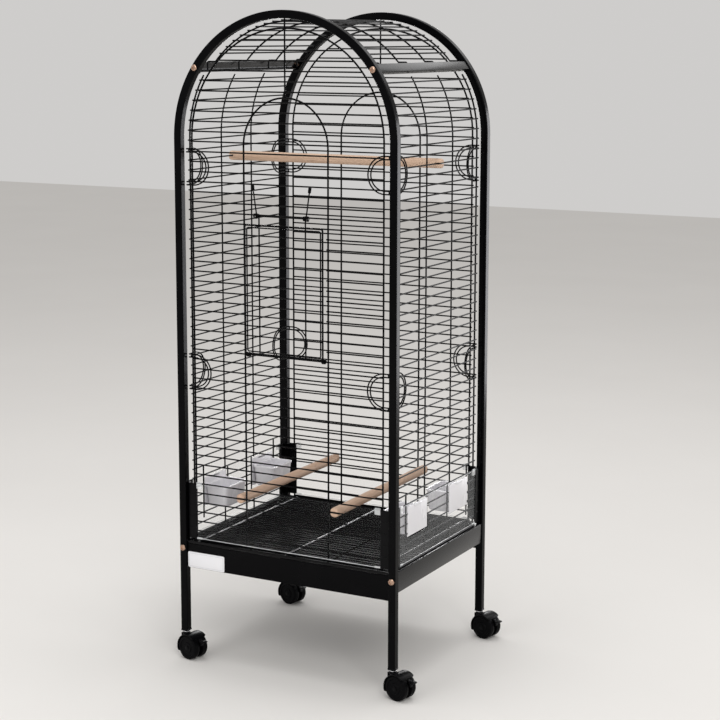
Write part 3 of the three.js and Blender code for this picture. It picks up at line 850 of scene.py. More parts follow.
@dataclass(frozen=True)
class Finishes:
    """One material for each finish."""

    frame: bpy.types.Material
    rail: bpy.types.Material
    wire: bpy.types.Material
    grate: bpy.types.Material
    grate_bright: bpy.types.Material
    tray: bpy.types.Material
    caster: bpy.types.Material
    wheel: bpy.types.Material
    bracket: bpy.types.Material
    clear: bpy.types.Material
    clear_edge: bpy.types.Material
    cup: bpy.types.Material
    copper: bpy.types.Material
    upper_wood: bpy.types.Material
    lower_wood: bpy.types.Material
    label: bpy.types.Material
    label_edge: bpy.types.Material

    @classmethod
    def make(cls) -> "Finishes":
        """Builds every material once.

        Returns:
            The finishes.
        """
        return cls(
            frame=PowderCoat("powder_coat").material(),
            rail=PowderCoat("rail_coat", roughness=0.2, gloss=0.3, worn=(0.014, 0.014, 0.015)).material(),
            wire=PowderCoat("wire_coat", roughness=0.3, gloss=0.06, peel=1600.0, depth=0.00004).material(),
            grate=PowderCoat("grate_coat", roughness=0.2, gloss=0.14, peel=1600.0, depth=0.00001).material(),
            # The long top wires are the same black coat as the grate. Their lighter base and worn colours are
            # a painted highlight along their length.
            grate_bright=PowderCoat(
                "grate_long_painted_highlight", colour=(0.02, 0.02, 0.022), worn=(0.04, 0.04, 0.043),
                roughness=0.22, gloss=1.0, peel=1600.0, depth=0.00001,
            ).material(),
            tray=PowderCoat("tray_coat", roughness=0.32, gloss=0.012, peel=700.0).material(),
            caster=MouldedPlastic("caster_moulding").material(),
            wheel=MouldedPlastic(
                "wheel_moulding", scuffed=(0.006, 0.0058, 0.0056), roughness=0.42, gloss=0.05,
            ).material(),
            bracket=MouldedPlastic("bracket_moulding", roughness=0.32, gloss=0.1).material(),
            clear=ClearSheet("clear_sheet").material(),
            # The beads and grips of the guards take a much denser pale veil. On the grips it is their own
            # pale colour; on the beads it is a painted glint along the sheet's top and bottom edges.
            clear_edge=ClearSheet("clear_edge", veil=0.4, grazing_sheen=0.6).material(),
            cup=MilkyPlastic("cup_moulding").material(),
            copper=CopperPlate("copper_plate").material(),
            upper_wood=TurnedWood(
                "upper_perch_wood", Grain.ALONG_X, (0.68, 0.49, 0.36), (0.51, 0.335, 0.235),
            ).material(),
            lower_wood=TurnedWood(
                "lower_perch_wood", Grain.ALONG_Y, (0.63, 0.44, 0.32), (0.46, 0.30, 0.21),
            ).material(),
            label=PlainLabel("plain_label").material(),
            label_edge=PlainLabel("label_rule", colour=(0.30, 0.30, 0.33)).material(),
        )


@dataclass
class Part:
    """What each sub-assembly is built from."""

    layout: Layout
    looks: Finishes


@dataclass
class Frame(Part):
    """The two bent tube arches, the rails, the rear skirt and the bolts."""

    tube_corner: float = 0.0022
    plug_rim: float = 0.0003
    rail_angle: float = 35.0
    rail_width: float = 0.019
    rail_thick: float = 0.0025
    rail_stand: float = 0.006
    rail_lip: float = 0.003
    tab_thick: float = 0.003
    hole_pitch: float = 0.02
    hole_radius: float = 0.0016
    sheet: float = 0.002
    fold: float = 0.0009
    bolt_radius: float = 0.0065
    key_radius: float = 0.0026

    def build(self) -> None:
        """Makes every piece of the frame."""
        for end in END:
            self.arch(end)
        for side in SIDE:
            self.top_rail(side)
            self.base_rail(side)
        self.rear_skirt()
        self.bolts()

    def arch(self, end: str) -> None:
        """One square tube bent into a hoop on two legs, with a plug in each foot.

        Args:
            end: front or rear.
        """
        at = self.layout
        y = END[end] * at.half_d
        half = at.tube / 2
        legs = [at.foot, at.foot + 0.01, at.base_top, at.spring * 0.6, at.spring - 0.01]
        path = [Vector((at.half_w, y, z)) for z in legs]
        path += arc(at.half_w, at.spring, 0, 180, 96, y)
        path += [Vector((-at.half_w, y, z)) for z in reversed(legs)]
        maker = Maker()
        maker.sweep(path, rounded_outline(half, half, self.tube_corner, 4), across=Vector((0, 1, 0)))
        made = maker.piece(
            f"{end}_arch", "cage", Slot.FRAME, self.looks.frame, [f"{end}_arch_tube"], smooth=60,
        )
        made.modifiers.new("even_faces", "WEIGHTED_NORMAL").keep_sharp = True
        plug = Maker()
        wide = half + self.plug_rim
        low, high = at.foot - 0.0022, at.foot + 0.002
        for side in SIDE.values():
            x = side * at.half_w
            plug.block((x - wide, y - wide, low), (x + wide, y + wide, high), 0.0015)
        plug.piece(f"{end}_foot_plugs", "cage", Slot.BRACKET, self.looks.bracket)

    def rail_place(self, sign: int, along: float, radius: float) -> Pair:
        """Where a point of a top rail's section lies.

        Args:
            sign: -1 for the left rail, 1 for the right.
            along: its place along the tangent to the arch.
            radius: its distance from the middle of the arch.

        Returns:
            Its x and z.
        """
        turn = math.radians(self.rail_angle)
        x = radius * math.cos(turn) - along * math.sin(turn)
        return sign * x, self.layout.spring + radius * math.sin(turn) + along * math.cos(turn)

    def top_rail(self, side: str) -> None:
        """A pressed strip between the arches, with a lipped lower edge, wire holes and end tabs.

        Args:
            side: left or right.
        """
        at, sign = self.layout, SIDE[side]
        outer = at.half_w + self.rail_stand
        inner = outer - self.rail_thick
        half, reach = self.rail_width / 2, at.post_y - CLEARANCE
        lip = at.half_w - self.rail_lip
        t = self.rail_thick * 0.8
        corners = [
            (half, inner), (half, outer), (-half, outer), (-half, lip),
            (-half + t, lip), (-half + t, inner),
        ]
        section = [Vector((*self.rail_place(sign, a, r), 0.0)) for a, r in corners]
        closed = rounded([section[-1], *section, section[0]], 0.0007, 2)[1:-1]
        middle = sum(section, Vector()) / len(section)
        loops = []
        for y, share in ((-reach, 0.97), (-reach + 0.001, 1.0), (reach - 0.001, 1.0), (reach, 0.97)):
            ring = [middle + (p - middle) * share for p in closed]
            loops.append([Vector((p.x, y, p.y)) for p in ring])
        maker = Maker()
        maker.loft(loops)
        made = maker.piece(
            f"{side}_top_strip", "cage", Slot.FRAME, self.looks.rail, [f"{side}_top_rail"], smooth=30,
        )
        carve(made, self.rail_drills(sign, half, reach))
        self.rail_tabs(side, inner, half, reach)

    def rail_drills(self, sign: int, half: float, reach: float) -> Maker:
        """The drills for the row of wire holes along the lower edge of a top rail.

        Args:
            sign: -1 for the left rail, 1 for the right.
            half: half the rail's width.
            reach: half its length.

        Returns:
            The drills, ready to be carved out.
        """
        through = self.layout.half_w + 0.0005
        x0, z0 = self.rail_place(sign, -half - 0.003, through)
        x1, z1 = self.rail_place(sign, -half + 0.006, through)
        drills = Maker()
        count = int(2 * (reach - 0.015) / self.hole_pitch)
        for i in range(count + 1):
            y = (i - count / 2) * self.hole_pitch
            drills.wire((x0, y, z0), (x1, y, z1), self.hole_radius, 10)
        return drills

    def rail_tabs(self, side: str, inner: float, half: float, reach: float) -> None:
        """The tab at each end of a top rail, which its screw holds.

        Args:
            side: left or right.
            inner: the radius of the strip's inner face.
            half: half the rail's width.
            reach: half its length.
        """
        root = self.layout.half_w - 0.007
        ring = [(half, inner), (half, root), (-half, root), (-half, inner)]
        points = [self.rail_place(SIDE[side], a, r) for a, r in ring]
        tabs = Maker()
        for end in END.values():
            span = (reach - self.tab_thick, reach)
            tabs.loft([[Vector((x, end * y, z)) for x, z in points] for y in span])
        tabs.piece(f"{side}_top_rail_tabs", "cage", Slot.FRAME, self.looks.frame)

    def base_rail(self, side: str) -> None:
        """The folded side of the base, with ledges for the grate and the tray.

        Args:
            side: left or right.
        """
        at, sign = self.layout, SIDE[side]
        low, high = node_box(f"{side}_base_rail")
        inner, outer = (sign * x for x in near_and_far(low.x, high.x))
        y0, y1 = low.y, high.y
        maker = Maker()
        maker.block((outer - sign * self.sheet, y0, low.z), (outer, y1, high.z), self.fold)
        maker.block((sign * at.post_x, y0, high.z - self.sheet), (outer, y1, high.z), self.fold)
        for z in (low.z, high.z - 0.008):
            maker.block((inner, y0, z), (outer - sign * self.fold, y1, z + self.sheet), self.fold)
        root = sign * (at.post_x + self.sheet)
        for end in END.values():
            y = end * (at.post_y - CLEARANCE)
            maker.block((root, y - end * self.tab_thick, low.z), (outer, y, high.z), self.fold)
        maker.piece(f"{side}_base_side", "cage", Slot.FRAME, self.looks.rail, [f"{side}_base_rail"])

    def rear_skirt(self) -> None:
        """The pressed rear panel of the base, with folded edges."""
        low, high = node_box("rear_skirt")
        maker = Maker()
        maker.block((low.x, high.y - self.sheet, low.z), tuple(high), self.fold)
        maker.block(tuple(low), (high.x, high.y, low.z + self.sheet), self.fold)
        maker.block((low.x, high.y - 0.005, high.z - self.sheet), tuple(high), self.fold)
        maker.piece("rear_base_skirt", "cage", Slot.FRAME, self.looks.frame, ["rear_skirt"])

    def bolts(self) -> None:
        """Domed copper screws with a flat flange and a six-sided socket."""
        r = self.bolt_radius
        profile = [
            (0.0024, -0.0022), (0.0028, -0.0036), (r * 0.62, -0.0040), (r * 0.85, -0.0033),
            (r * 0.98, -0.0020), (r, -0.0012), (r * 0.97, -0.0004), (0.003, -0.0003), (0.003, 0.022),
        ]
        key = [(self.key_radius, -0.006), (self.key_radius, -0.0022)]
        face = self.layout.half_d + self.layout.tube / 2
        for end, side in CORNERS:
            inwards = Vector((0, -END[end], 0))
            for level in LEVELS:
                node = f"bolt_{end}_{side}_{level}"
                low, high = node_box(node)
                base = Vector(((low.x + high.x) / 2, END[end] * face, (low.z + high.z) / 2))
                maker = Maker()
                maker.lathe(profile, base, inwards, 30)
                name = f"{end}_{side}_{level}_screw"
                screw = maker.piece(name, "cage", Slot.BOLT, self.looks.copper, [node])
                socket = Maker()
                socket.lathe(key, base, inwards, 6)
                carve(screw, socket)


@dataclass
class WireWork(Part):
    """The five wire panels and the clips that hold them to the posts."""

    wire: float = 0.0015
    edge_wire: float = 0.0019
    clip_wire: float = 0.00125
    pitch: float = 0.02
    first: float = 0.253
    overrun: float = 0.002
    front_edge: float = 0.216
    side_edge: float = 0.174
    upright: float = 0.058
    hoop: float = 0.095
    hoop_spring: float = 1.067
    sill_row: int = 20
    lintel_row: int = 33
    window_near: float = 0.0475
    window_far: float = 0.139
    window_rows: int = 4
    plane: float = 0.002
    side_bend: float = 31.4
    side_top: float = 30.5
    roof_radius: float = 0.230
    roof_start: float = 41.0
    hook_x: float = 0.192
    hook_drop: float = 0.016
    ring_gap: float = 0.0062
    bridge: float = 0.008

    def build(self) -> None:
        """Makes every panel and clip."""
        for end in END:
            self.end_panel(end)
        for side in SIDE:
            self.side_panel(side)
        self.roof()
        for end, side in CORNERS:
            for level in LEVELS:
                self.clip(end, side, level)

    @property
    def side_plane(self) -> float:
        """The plane of the side panels, from the middle."""
        return self.layout.post_x + self.plane + CLEARANCE

    def rows(self, top: float) -> list[float]:
        """The heights of the horizontal wires up to top."""
        return [self.first + self.pitch * n for n in range(int((top - self.first) / self.pitch + 0.01) + 1)]

    @staticmethod
    def crosses(z: float, sill: float, lintel: float) -> bool:
        """Whether a row runs into an opening, and isn't its sill or its lintel."""
        return sill + 0.001 < z < lintel - 0.001

    def end_panel(self, end: str) -> None:
        """A front or rear panel: a border hoop, a door hoop, a middle wire and the horizontals.

        Args:
            end: front or rear.
        """
        at, sign = self.layout, END[end]
        y = sign * (at.post_y + self.plane)
        row_y = y + sign * (self.wire + self.edge_wire) * 0.82
        foot = self.first - self.wire
        maker = Maker()
        for half, spring, steps in ((self.front_edge, at.spring, 56), (self.hoop, self.hoop_spring, 36)):
            bow = arc(half, spring, 0, 180, steps, y)
            maker.tube([Vector((half, y, foot)), *bow, Vector((-half, y, foot))], self.edge_wire, 8)
        crown = at.spring + self.front_edge
        under_arch = at.spring + at.post_x - 2 * CLEARANCE
        maker.wire((0, y, self.hoop_spring + self.hoop), (0, y, under_arch), self.wire * 1.15)
        sill = self.first + self.pitch * self.sill_row
        lintel = self.first + self.pitch * self.lintel_row
        jamb = self.hoop - self.overrun
        for z in self.rows(crown - 0.012):
            rise = max(z - at.spring, 0.0)
            half = math.sqrt(self.front_edge**2 - rise**2) + self.overrun
            radius = self.edge_wire if z == self.first else self.wire
            if end == "front" and self.crosses(z, sill, lintel):
                for side in SIDE.values():
                    maker.wire((side * jamb, row_y, z), (side * half, row_y, z), radius)
            else:
                maker.wire((-half, row_y, z), (half, row_y, z), radius)
        maker.piece(f"{end}_wires", "cage", Slot.WIRE, self.looks.wire, [f"{end}_panel"])

    def side_panel(self, side: str) -> None:
        """A side panel: uprights bent inwards at the top, and the horizontals round the cup windows.

        Args:
            side: left or right.
        """
        at, sign = self.layout, SIDE[side]
        x = sign * self.side_plane
        sill = self.first + 2 * self.pitch
        lintel = sill + self.window_rows * self.pitch
        stiff = self.wire * 1.1
        bend = [Vector((sign * p.x, 0, p.z)) for p in arc(self.side_plane, at.spring, 0, self.side_bend, 14)]
        maker = Maker()
        for end in END.values():
            edge, inner = end * self.side_edge, end * self.upright
            tops = [Vector((x, 0, self.first - self.wire)), *bend]
            maker.tube([p + Vector((0, edge, 0)) for p in tops], self.edge_wire)
            tops[0] = Vector((x, 0, lintel - 0.001))
            maker.tube([p + Vector((0, inner, 0)) for p in tops], stiff)
            maker.wire((x, inner, self.first), (x, inner, sill + self.wire), stiff)
            guide = end * (self.window_far + 0.0017)
            maker.wire((x, guide, sill - self.pitch / 2), (x, guide, lintel + self.pitch), stiff)
        out = (self.wire + self.edge_wire) * 0.8
        near, far = self.window_near + 0.001, self.side_edge + self.overrun
        for z in self.rows(at.spring + self.side_plane * math.sin(math.radians(self.side_top))):
            rise = max(z - at.spring, 0.0)
            row_x = sign * (math.sqrt(self.side_plane**2 - rise**2) + out)
            radius = self.edge_wire if z == self.first else self.wire
            if self.crosses(z, sill, lintel):
                for end in END.values():
                    maker.wire((row_x, end * self.window_far, z), (row_x, end * far, z), radius)
                maker.wire((row_x, -near, z), (row_x, near, z), radius)
            else:
                maker.wire((row_x, -far, z), (row_x, far, z), radius)
        for end in END.values():
            jamb = end * self.window_near
            maker.wire((x, jamb, sill), (x, jamb, lintel), self.wire)
        maker.piece(f"{side}_wires", "cage", Slot.WIRE, self.looks.wire, [f"{side}_panel"])

    def roof(self) -> None:
        """The arched roof: four wires hooked behind the top rails, and the lengthwise wires on them."""
        at = self.layout
        start = self.roof_start
        maker = Maker()
        for y in (-self.side_edge, -self.upright, self.upright, self.side_edge):
            bow = arc(self.roof_radius, at.spring, start, 180 - start, 48, y)
            z = bow[0].z
            hook = [Vector((self.hook_x, y, z - self.hook_drop)), Vector((self.hook_x, y, z)), bow[0]]
            right = rounded(hook, 0.003, 3)[:-1]
            left = [Vector((-p.x, p.y, p.z)) for p in reversed(right)]
            maker.tube([*right, *bow, *left], self.wire * 1.15)
        span = math.radians(180 - 2 * start)
        count = round(self.roof_radius * span / self.pitch)
        r = self.roof_radius + self.wire * 1.8
        reach = self.side_edge + self.overrun
        for i in range(1, count):
            turn = math.radians(start) + span * i / count
            x, z = r * math.cos(turn), at.spring + r * math.sin(turn)
            maker.wire((x, -reach, z), (x, reach, z), self.wire)
        maker.piece("roof_wires", "cage", Slot.WIRE, self.looks.wire, ["roof_panel"])

    def clip(self, end: str, side: str, level: str) -> None:
        """A double wire ring folded round the inside of a post.

        Args:
            end: front or rear.
            side: left or right.
            level: lower or upper.
        """
        node = f"clip_{end}_{side}_{level}"
        low, high = node_box(node)
        thick = self.clip_wire
        near_x, far_x = near_and_far(low.x, high.x)
        near_y, far_y = near_and_far(low.y, high.y)
        middle = (low.z + high.z) / 2
        outer = (high.z - low.z) / 2 - thick

        def folded(s: float, z: float) -> Vector:
            """A point of the clip.

            Args:
                s: its place along the unfolded clip, with the fold at 0.
                z: its height above the middle.

            Returns:
                The point on the folded clip.
            """
            x = far_x - thick + min(s, 0.0)
            y = far_y - thick - max(s, 0.0)
            return Vector((SIDE[side] * x, END[end] * y, middle + z))

        maker = Maker()
        for radius in (outer, outer - self.ring_gap):
            ring: list[Vector] = []
            for way, span in ((1, far_y - near_y), (-1, far_x - near_x)):
                centre = way * (span - outer - thick)
                turns = [math.radians(180 * i / 20 - 90 * way) for i in range(21)]
                ring += [folded(centre + radius * math.cos(t), radius * math.sin(t)) for t in turns]
                ring += [folded(s * way, radius * way) for s in (0.0015, -0.0015)]
            maker.tube(ring, thick * 1.15, 8, closed=True)
        for up in (-1, 1):
            rungs = (up * (outer - self.ring_gap - 0.0006), up * (outer + 0.0003))
            maker.tube([folded(-self.bridge, z) for z in rungs], thick, 8)
        maker.piece(f"{end}_{side}_{level}_ring_clip", "cage", Slot.WIRE, self.looks.wire, [node])


@dataclass
class Door(Part):
    """The drop-down door and the latch that holds it."""

    wire: float = 0.0014
    edge_wire: float = 0.0018
    pitch: float = 0.02
    tall: float = 0.260
    above_pin: float = 0.004
    before_pin: float = 0.008
    border_gap: float = 0.0046
    uprights: Pair = (-0.055, 0.050)
    coil: float = 0.0038
    coil_half: float = 0.004
    splay: float = 0.009
    latch_coil: float = 0.0046
    latch_side: float = 0.0032
    sleeve: float = 0.009

    def build(self, hinge: dict, latch: dict) -> None:
        """Makes the door and its latch round their two joints.

        Args:
            hinge: the joint that the door drops on.
            latch: the joint that the latch flips on.
        """
        pin = Vector(hinge["pos_m"]) - Maker.origin
        catch = Vector(latch["pos_m"]) - Maker.origin
        self.door(pin, catch)
        self.latch(catch)

    def door(self, pin: Vector, catch: Vector) -> None:
        """A double wire border, the horizontals, two long uprights and the hinge coils.

        Args:
            pin: the middle of the hinge.
            catch: the middle of the latch's pivot.
        """
        low, high = node_box("front_door")
        y = pin.y - self.before_pin
        foot, top = pin.z + self.above_pin, pin.z + self.tall
        half = (high.x - low.x) / 2 - 0.0017
        maker = Maker()
        for inset, radius in ((0.0, self.edge_wire), (self.border_gap, self.wire)):
            x, z0, z1 = half - inset, foot + inset, top - inset
            corners = [Vector(p) for p in ((-x, y, z0), (x, y, z0), (x, y, z1), (-x, y, z1))]
            start = (corners[0] + corners[1]) / 2
            ring = rounded([start, corners[1], corners[2], corners[3], corners[0], start], 0.004, 4)[:-1]
            maker.tube(ring, radius, 8, closed=True)
        row_y = y - self.wire * 1.6
        for i in range(1, int((top - foot) / self.pitch)):
            z = pin.z + self.pitch * (i + 1)
            if z < top - 0.01:
                maker.wire((-half, row_y, z), (half, row_y, z), self.wire)
        for x in self.uprights:
            maker.wire((x, y, foot), (x, y, catch.z - self.coil), self.wire * 1.1, 8)
            centre, out = Vector((x, catch.y, catch.z)), Vector((0.0022, 0, 0))
            maker.helix(centre - out, centre + out, self.coil, self.wire * 0.8, 2.2)
        for side in SIDE.values():
            x = side * (half - 0.002)
            centre, out = Vector((x, pin.y, pin.z)), Vector((self.coil_half, 0, 0))
            maker.helix(centre - out, centre + out, self.coil, self.wire * 0.85, 3.2)
            lug = Vector((x, y, foot))
            maker.tube([centre + (lug - centre).normalized() * self.coil, lug], self.wire)
        maker.piece("front_door_wires", "door", Slot.WIRE, self.looks.wire, ["front_door"])

    def latch(self, catch: Vector) -> None:
        """A bail on the two long uprights, with splayed arms in sleeved tips and a coil at each root.

        Args:
            catch: the middle of the latch's pivot.
        """
        top = node_box("door_latch")[1].z - 0.0005
        left, right = self.uprights[0] - self.latch_side, self.uprights[1] + self.latch_side
        tips = [Vector((left - self.splay, catch.y, top)), Vector((right + self.splay, catch.y, top))]
        roots = [Vector((left, catch.y, catch.z)), Vector((right, catch.y, catch.z))]
        maker = Maker()
        maker.tube(rounded([tips[0], roots[0], roots[1], tips[1]], 0.0035, 5), self.wire)
        for root, tip in zip(roots, tips):
            along = (tip - root).normalized()
            out = Vector((math.copysign(1.0, root.x), 0, 0))
            maker.helix(root - out * 0.0015, root + out * 0.0060, self.latch_coil, self.wire * 0.75, 2.6)
            maker.tube([tip - along * self.sleeve, tip], self.wire * 2.3, 12)
        maker.piece("latch_bail", "latch", Slot.WIRE, self.looks.wire, ["door_latch"])


@dataclass
class Base(Part):
    """The slide-out tray, its front, the plain label and the wire floor."""

    tray_foot: float = 0.2113
    tray_rim: float = 0.2422
    tray_corner: float = 0.012
    tray_sheet: float = 0.0014
    tray_fillet: float = 0.007
    front_sheet: float = 0.002
    label_corner: float = 0.003
    label_seat: float = 0.0003
    rule_inset: float = 0.003
    rule_wire: float = 0.00025
    strip_foot: float = 0.2452
    strip_thick: float = 0.0034
    grate_pitch: float = 0.0136
    grate_wire: float = 0.0012
    rod: float = 0.0015
    rod_place: float = 0.09
    top_rod: float = 0.0017
    top_rod_inset: float = 0.024

    def build(self) -> None:
        """Makes the tray, the label and the grate."""
        self.tray()
        self.label()
        self.grate()

    def tray(self) -> None:
        """A shallow pan with a rolled rim, behind a folded drawer front."""
        low, high = node_box("drawer_tray")
        foot, rim = self.tray_foot, self.tray_rim
        sheet, fillet = self.tray_sheet, self.tray_fillet
        front, back = low.y + 0.0015, high.y
        middle = Vector(((low.x + high.x) / 2, (front + back) / 2, 0))
        rows = [
            (-fillet, foot), (-fillet * 0.3, foot + fillet * 0.12), (0.0, foot + fillet * 0.7),
            (0.0, rim - 0.001), (-sheet * 0.3, rim), (-sheet, rim - 0.0006), (-sheet, foot + fillet),
            (-sheet - fillet * 0.3, foot + sheet + fillet * 0.2), (-sheet - fillet, foot + sheet),
        ]
        pan = Maker()
        pan.stack(rows, (high.x - 0.0005, (back - front) / 2), self.tray_corner, middle)
        pan.piece("tray_pan", "tray", Slot.FRAME, self.looks.tray, ["drawer_tray"])
        face = Maker()
        face.block(tuple(low), (high.x, low.y + self.front_sheet, high.z), 0.0009)
        face.block(tuple(low), (high.x, low.y + 0.009, low.z + self.front_sheet), 0.0009)
        face.block((low.x, low.y, high.z - 0.0018), (high.x, low.y + 0.004, high.z), 0.0008)
        face.piece("drawer_front", "tray", Slot.FRAME, self.looks.frame)

    def label(self) -> None:
        """A blank plate with round corners and a thin rule set in from its edge."""
        low, high = node_box("name_plate")
        middle, size = (low + high) / 2, (high - low) / 2

        def outlined(inset: float, corner: float, y: float) -> list[Vector]:
            """A round-cornered outline on the drawer front.

            Args:
                inset: how far in from the plate's edge it runs.
                corner: the radius of its corners.
                y: the plane it lies in.

            Returns:
                Its points.
            """
            outline = rounded_outline(size.x - inset, size.z - inset, corner, 5)
            return [Vector((middle.x + u, y, middle.z + v)) for u, v in outline]

        levels = ((0.0, high.y + self.label_seat), (0.0, low.y + self.label_seat), (0.0004, low.y))
        plate = Maker()
        plate.loft([outlined(inset, self.label_corner, y) for inset, y in levels])
        plate.piece("blank_label", "tray", Slot.PLATE, self.looks.label, ["name_plate"])
        rule = Maker()
        rule.tube(outlined(self.rule_inset, 0.002, low.y), self.rule_wire, 6, closed=True)
        rule.piece("label_rule", "tray", Slot.PLATE, self.looks.label_edge)

    def grate(self) -> None:
        """Close wires across, carried by wires along, behind the strip that fills the slot."""
        low, high = node_box("floor_grate")
        half = self.layout.post_x - 0.004
        front, back = low.y + 0.0015, high.y
        level = low.z + 0.0017
        maker = Maker()
        maker.block((low.x, low.y, self.strip_foot), (high.x, low.y + self.strip_thick, high.z), 0.0014)
        for x in (-half, -self.rod_place, self.rod_place, half):
            maker.wire((x, front, level), (x, back, level), self.rod)
        z = level + 0.0022
        for i in range(1, int((back - front - 0.004) / self.grate_pitch) + 1):
            y = front + self.grate_pitch * i
            maker.wire((-half - 0.001, y, z), (half + 0.001, y, z), self.grate_wire)
        maker.piece("floor_wires", "grate", Slot.WIRE, self.looks.grate, ["floor_grate"])
        # The long top wires take a lighter copy of the grate coat, a painted highlight.
        top = Maker()
        z = level + 0.0048
        for x in (self.top_rod_inset - half, 0.0, half - self.top_rod_inset):
            top.wire((x, front, z), (x, back, z), self.top_rod, 12)
        top.piece("floor_top_wires", "grate", Slot.WIRE, self.looks.grate_bright)


@dataclass
class Fittings(Part):
    """The clear guards with their brackets and clips, the cups and the perches."""

    bead: float = 0.0006
    grip_long: float = 0.012
    grip_stand: float = 0.0008
    bracket_sheet: float = 0.003
    bracket_arm: float = 0.0025
    bracket_edge: float = 0.0009
    ribs: int = 4
    rib_half: float = 0.0012
    cup_half: float = 0.042
    cup_tall: float = 0.046
    cup_wall: float = 0.0018
    cup_fillet: float = 0.006
    cup_taper: float = 0.004
    cup_corner: float = 0.009
    cup_plate: float = 0.002
    lip_stand: float = 0.0032
    lip_inset: float = 0.028
    slot_half: float = 0.0019
    upper_slot: float = 0.0115
    lower_slot: float = 0.0055

    def build(self) -> None:
        """Makes every fitting."""
        for name in (*END, *SIDE):
            self.guard(name)
        for end, side in CORNERS:
            self.bracket(end, side)
            self.cup(end, side)
        self.perch("perch_upper", "upper_perch", self.looks.upper_wood, self.upper_slot)
        for side in SIDE:
            self.perch(f"perch_lower_{side}", f"{side}_lower_perch", self.looks.lower_wood, self.lower_slot)

    def guard(self, name: str) -> None:
        """A clear sheet with eased edges, a bead along its top and bottom, and cup windows at the sides.

        Args:
            name: the side of the cage that it stands on.
        """
        node = f"{name}_guard"
        low, high = node_box(node)
        maker = Maker()
        maker.block(tuple(low), tuple(high), 0.0005, 2)
        made = maker.piece(f"{name}_clear_guard", "cage", Slot.CLEAR, self.looks.clear, [node])
        if name in SIDE:
            x = (low.x + high.x) / 2
            windows = Maker()
            for end in END:
                a, b = node_box(f"cup_{end}_{name}")
                foot, top = (x - 0.006, a.y - 0.001, a.z - 0.002), (x + 0.006, b.y + 0.001, b.z + 0.002)
                windows.block(foot, top, 0.003)
            carve(made, windows)
        # The beads are drawn in a dense pale veil, a painted glint along the sheet's edges; the grips at the
        # ends take the same pale finish as their own colour.
        beads = Maker()
        for z in (low.z + self.bead, high.z - self.bead)[: 1 if name in END else 2]:
            beads.block((low.x, low.y, z - self.bead), (high.x, high.y, z + self.bead), 0.0004, 2)
        grow = Vector((self.grip_stand, self.grip_stand, 0.0))
        grips = ((low.z + 0.001, 0.002), (high.z - 0.004, 0.007))
        for sign in (-1, 1):
            for z, tall in grips:
                if name in END:
                    x = sign * (high.x - low.x) / 2
                    box = ordered((x, low.y, z - tall), (x - sign * self.grip_long, high.y, z + tall))
                else:
                    y = sign * (high.y - low.y) / 2
                    box = ordered((low.x, y, z - tall), (high.x, y - sign * self.grip_long, z + tall))
                beads.block(tuple(box[0] - grow), tuple(box[1] + grow), 0.0015, 2)
        beads.piece(f"{name}_guard_beads_and_painted_glint", "cage", Slot.CLEAR, self.looks.clear_edge)

    def bracket(self, end: str, side: str) -> None:
        """A black corner bracket round the inner corner of a post, ribbed along both arms.

        Args:
            end: front or rear.
            side: left or right.
        """
        node = f"guard_bracket_{end}_{side}"
        low, high = node_box(node)
        near_x, far_x = near_and_far(low.x, high.x)
        near_y, far_y = near_and_far(low.y, high.y)
        px, py = self.layout.post_x - CLEARANCE, self.layout.post_y - CLEARANCE
        sheet, arm = self.bracket_sheet, self.bracket_arm
        maker = Maker()

        def wall(x: Pair, y: Pair, z: Pair = (low.z, high.z)) -> None:
            """One wall of the bracket, given in the rear right quarter of the cage."""
            sx, sy = SIDE[side], END[end]
            maker.block((sx * x[0], sy * y[0], z[0]), (sx * x[1], sy * y[1], z[1]), self.bracket_edge)

        wall((near_x, px), (far_y - arm, far_y))
        wall((px - sheet, px), (near_y + 0.018, far_y))
        wall((px - sheet, far_x), (py - sheet, py))
        wall((far_x - arm, far_x), (near_y, py))
        for step in range(1, self.ribs + 1):
            level = low.z + (high.z - low.z) * step / (self.ribs + 1)
            rib = (level - self.rib_half, level + self.rib_half)
            wall((near_x + 0.003, px - 0.002), (far_y - 0.0005, far_y + 0.0006), rib)
            wall((far_x - 0.0005, far_x + 0.0006), (near_y + 0.003, py - 0.002), rib)
        maker.piece(f"{end}_{side}_guard_bracket", "cage", Slot.BRACKET, self.looks.bracket, [node])

    def cup(self, end: str, side: str) -> None:
        """A tapered open cup with round corners and a rim, on a flat plate with a finger lip.

        Args:
            end: front or rear.
            side: left or right.
        """
        node = f"cup_{end}_{side}"
        low, high = node_box(node)
        sign = SIDE[side]
        near, far = near_and_far(low.x, high.x)
        face, back = sign * (far - self.cup_plate), sign * near
        middle = Vector(((face + back) / 2, (low.y + high.y) / 2, 0))
        foot, rim = low.z + 0.001, low.z + self.cup_tall
        wall, fillet, taper = self.cup_wall, self.cup_fillet, self.cup_taper
        rows = [
            (-taper - fillet, foot), (-taper - fillet * 0.3, foot + 0.0008), (-taper, foot + fillet * 0.8),
            (-0.0014, rim - 0.004), (0.0, rim - 0.0036), (0.0, rim - 0.0006), (-0.0006, rim),
            (-0.0006 - wall, rim), (-0.0016 - wall, rim - 0.001), (-taper - wall, foot + fillet),
            (-taper - wall - fillet * 0.3, foot + wall + 0.001), (-taper - wall - fillet, foot + wall),
        ]
        maker = Maker()
        maker.stack(rows, (abs(face - back) / 2, self.cup_half), self.cup_corner, middle)
        maker.block((face, low.y, low.z), (face + sign * self.cup_plate, high.y, high.z), 0.0009)
        lip_y = (low.y + self.lip_inset, high.y - self.lip_inset)
        lip_x = face + sign * self.lip_stand
        maker.block((face, lip_y[0], high.z - 0.005), (lip_x, lip_y[1], high.z - 0.0015), 0.0008)
        maker.piece(f"{end}_{side}_cup", f"feeder_{end}_{side}", Slot.CUP, self.looks.cup, [node])

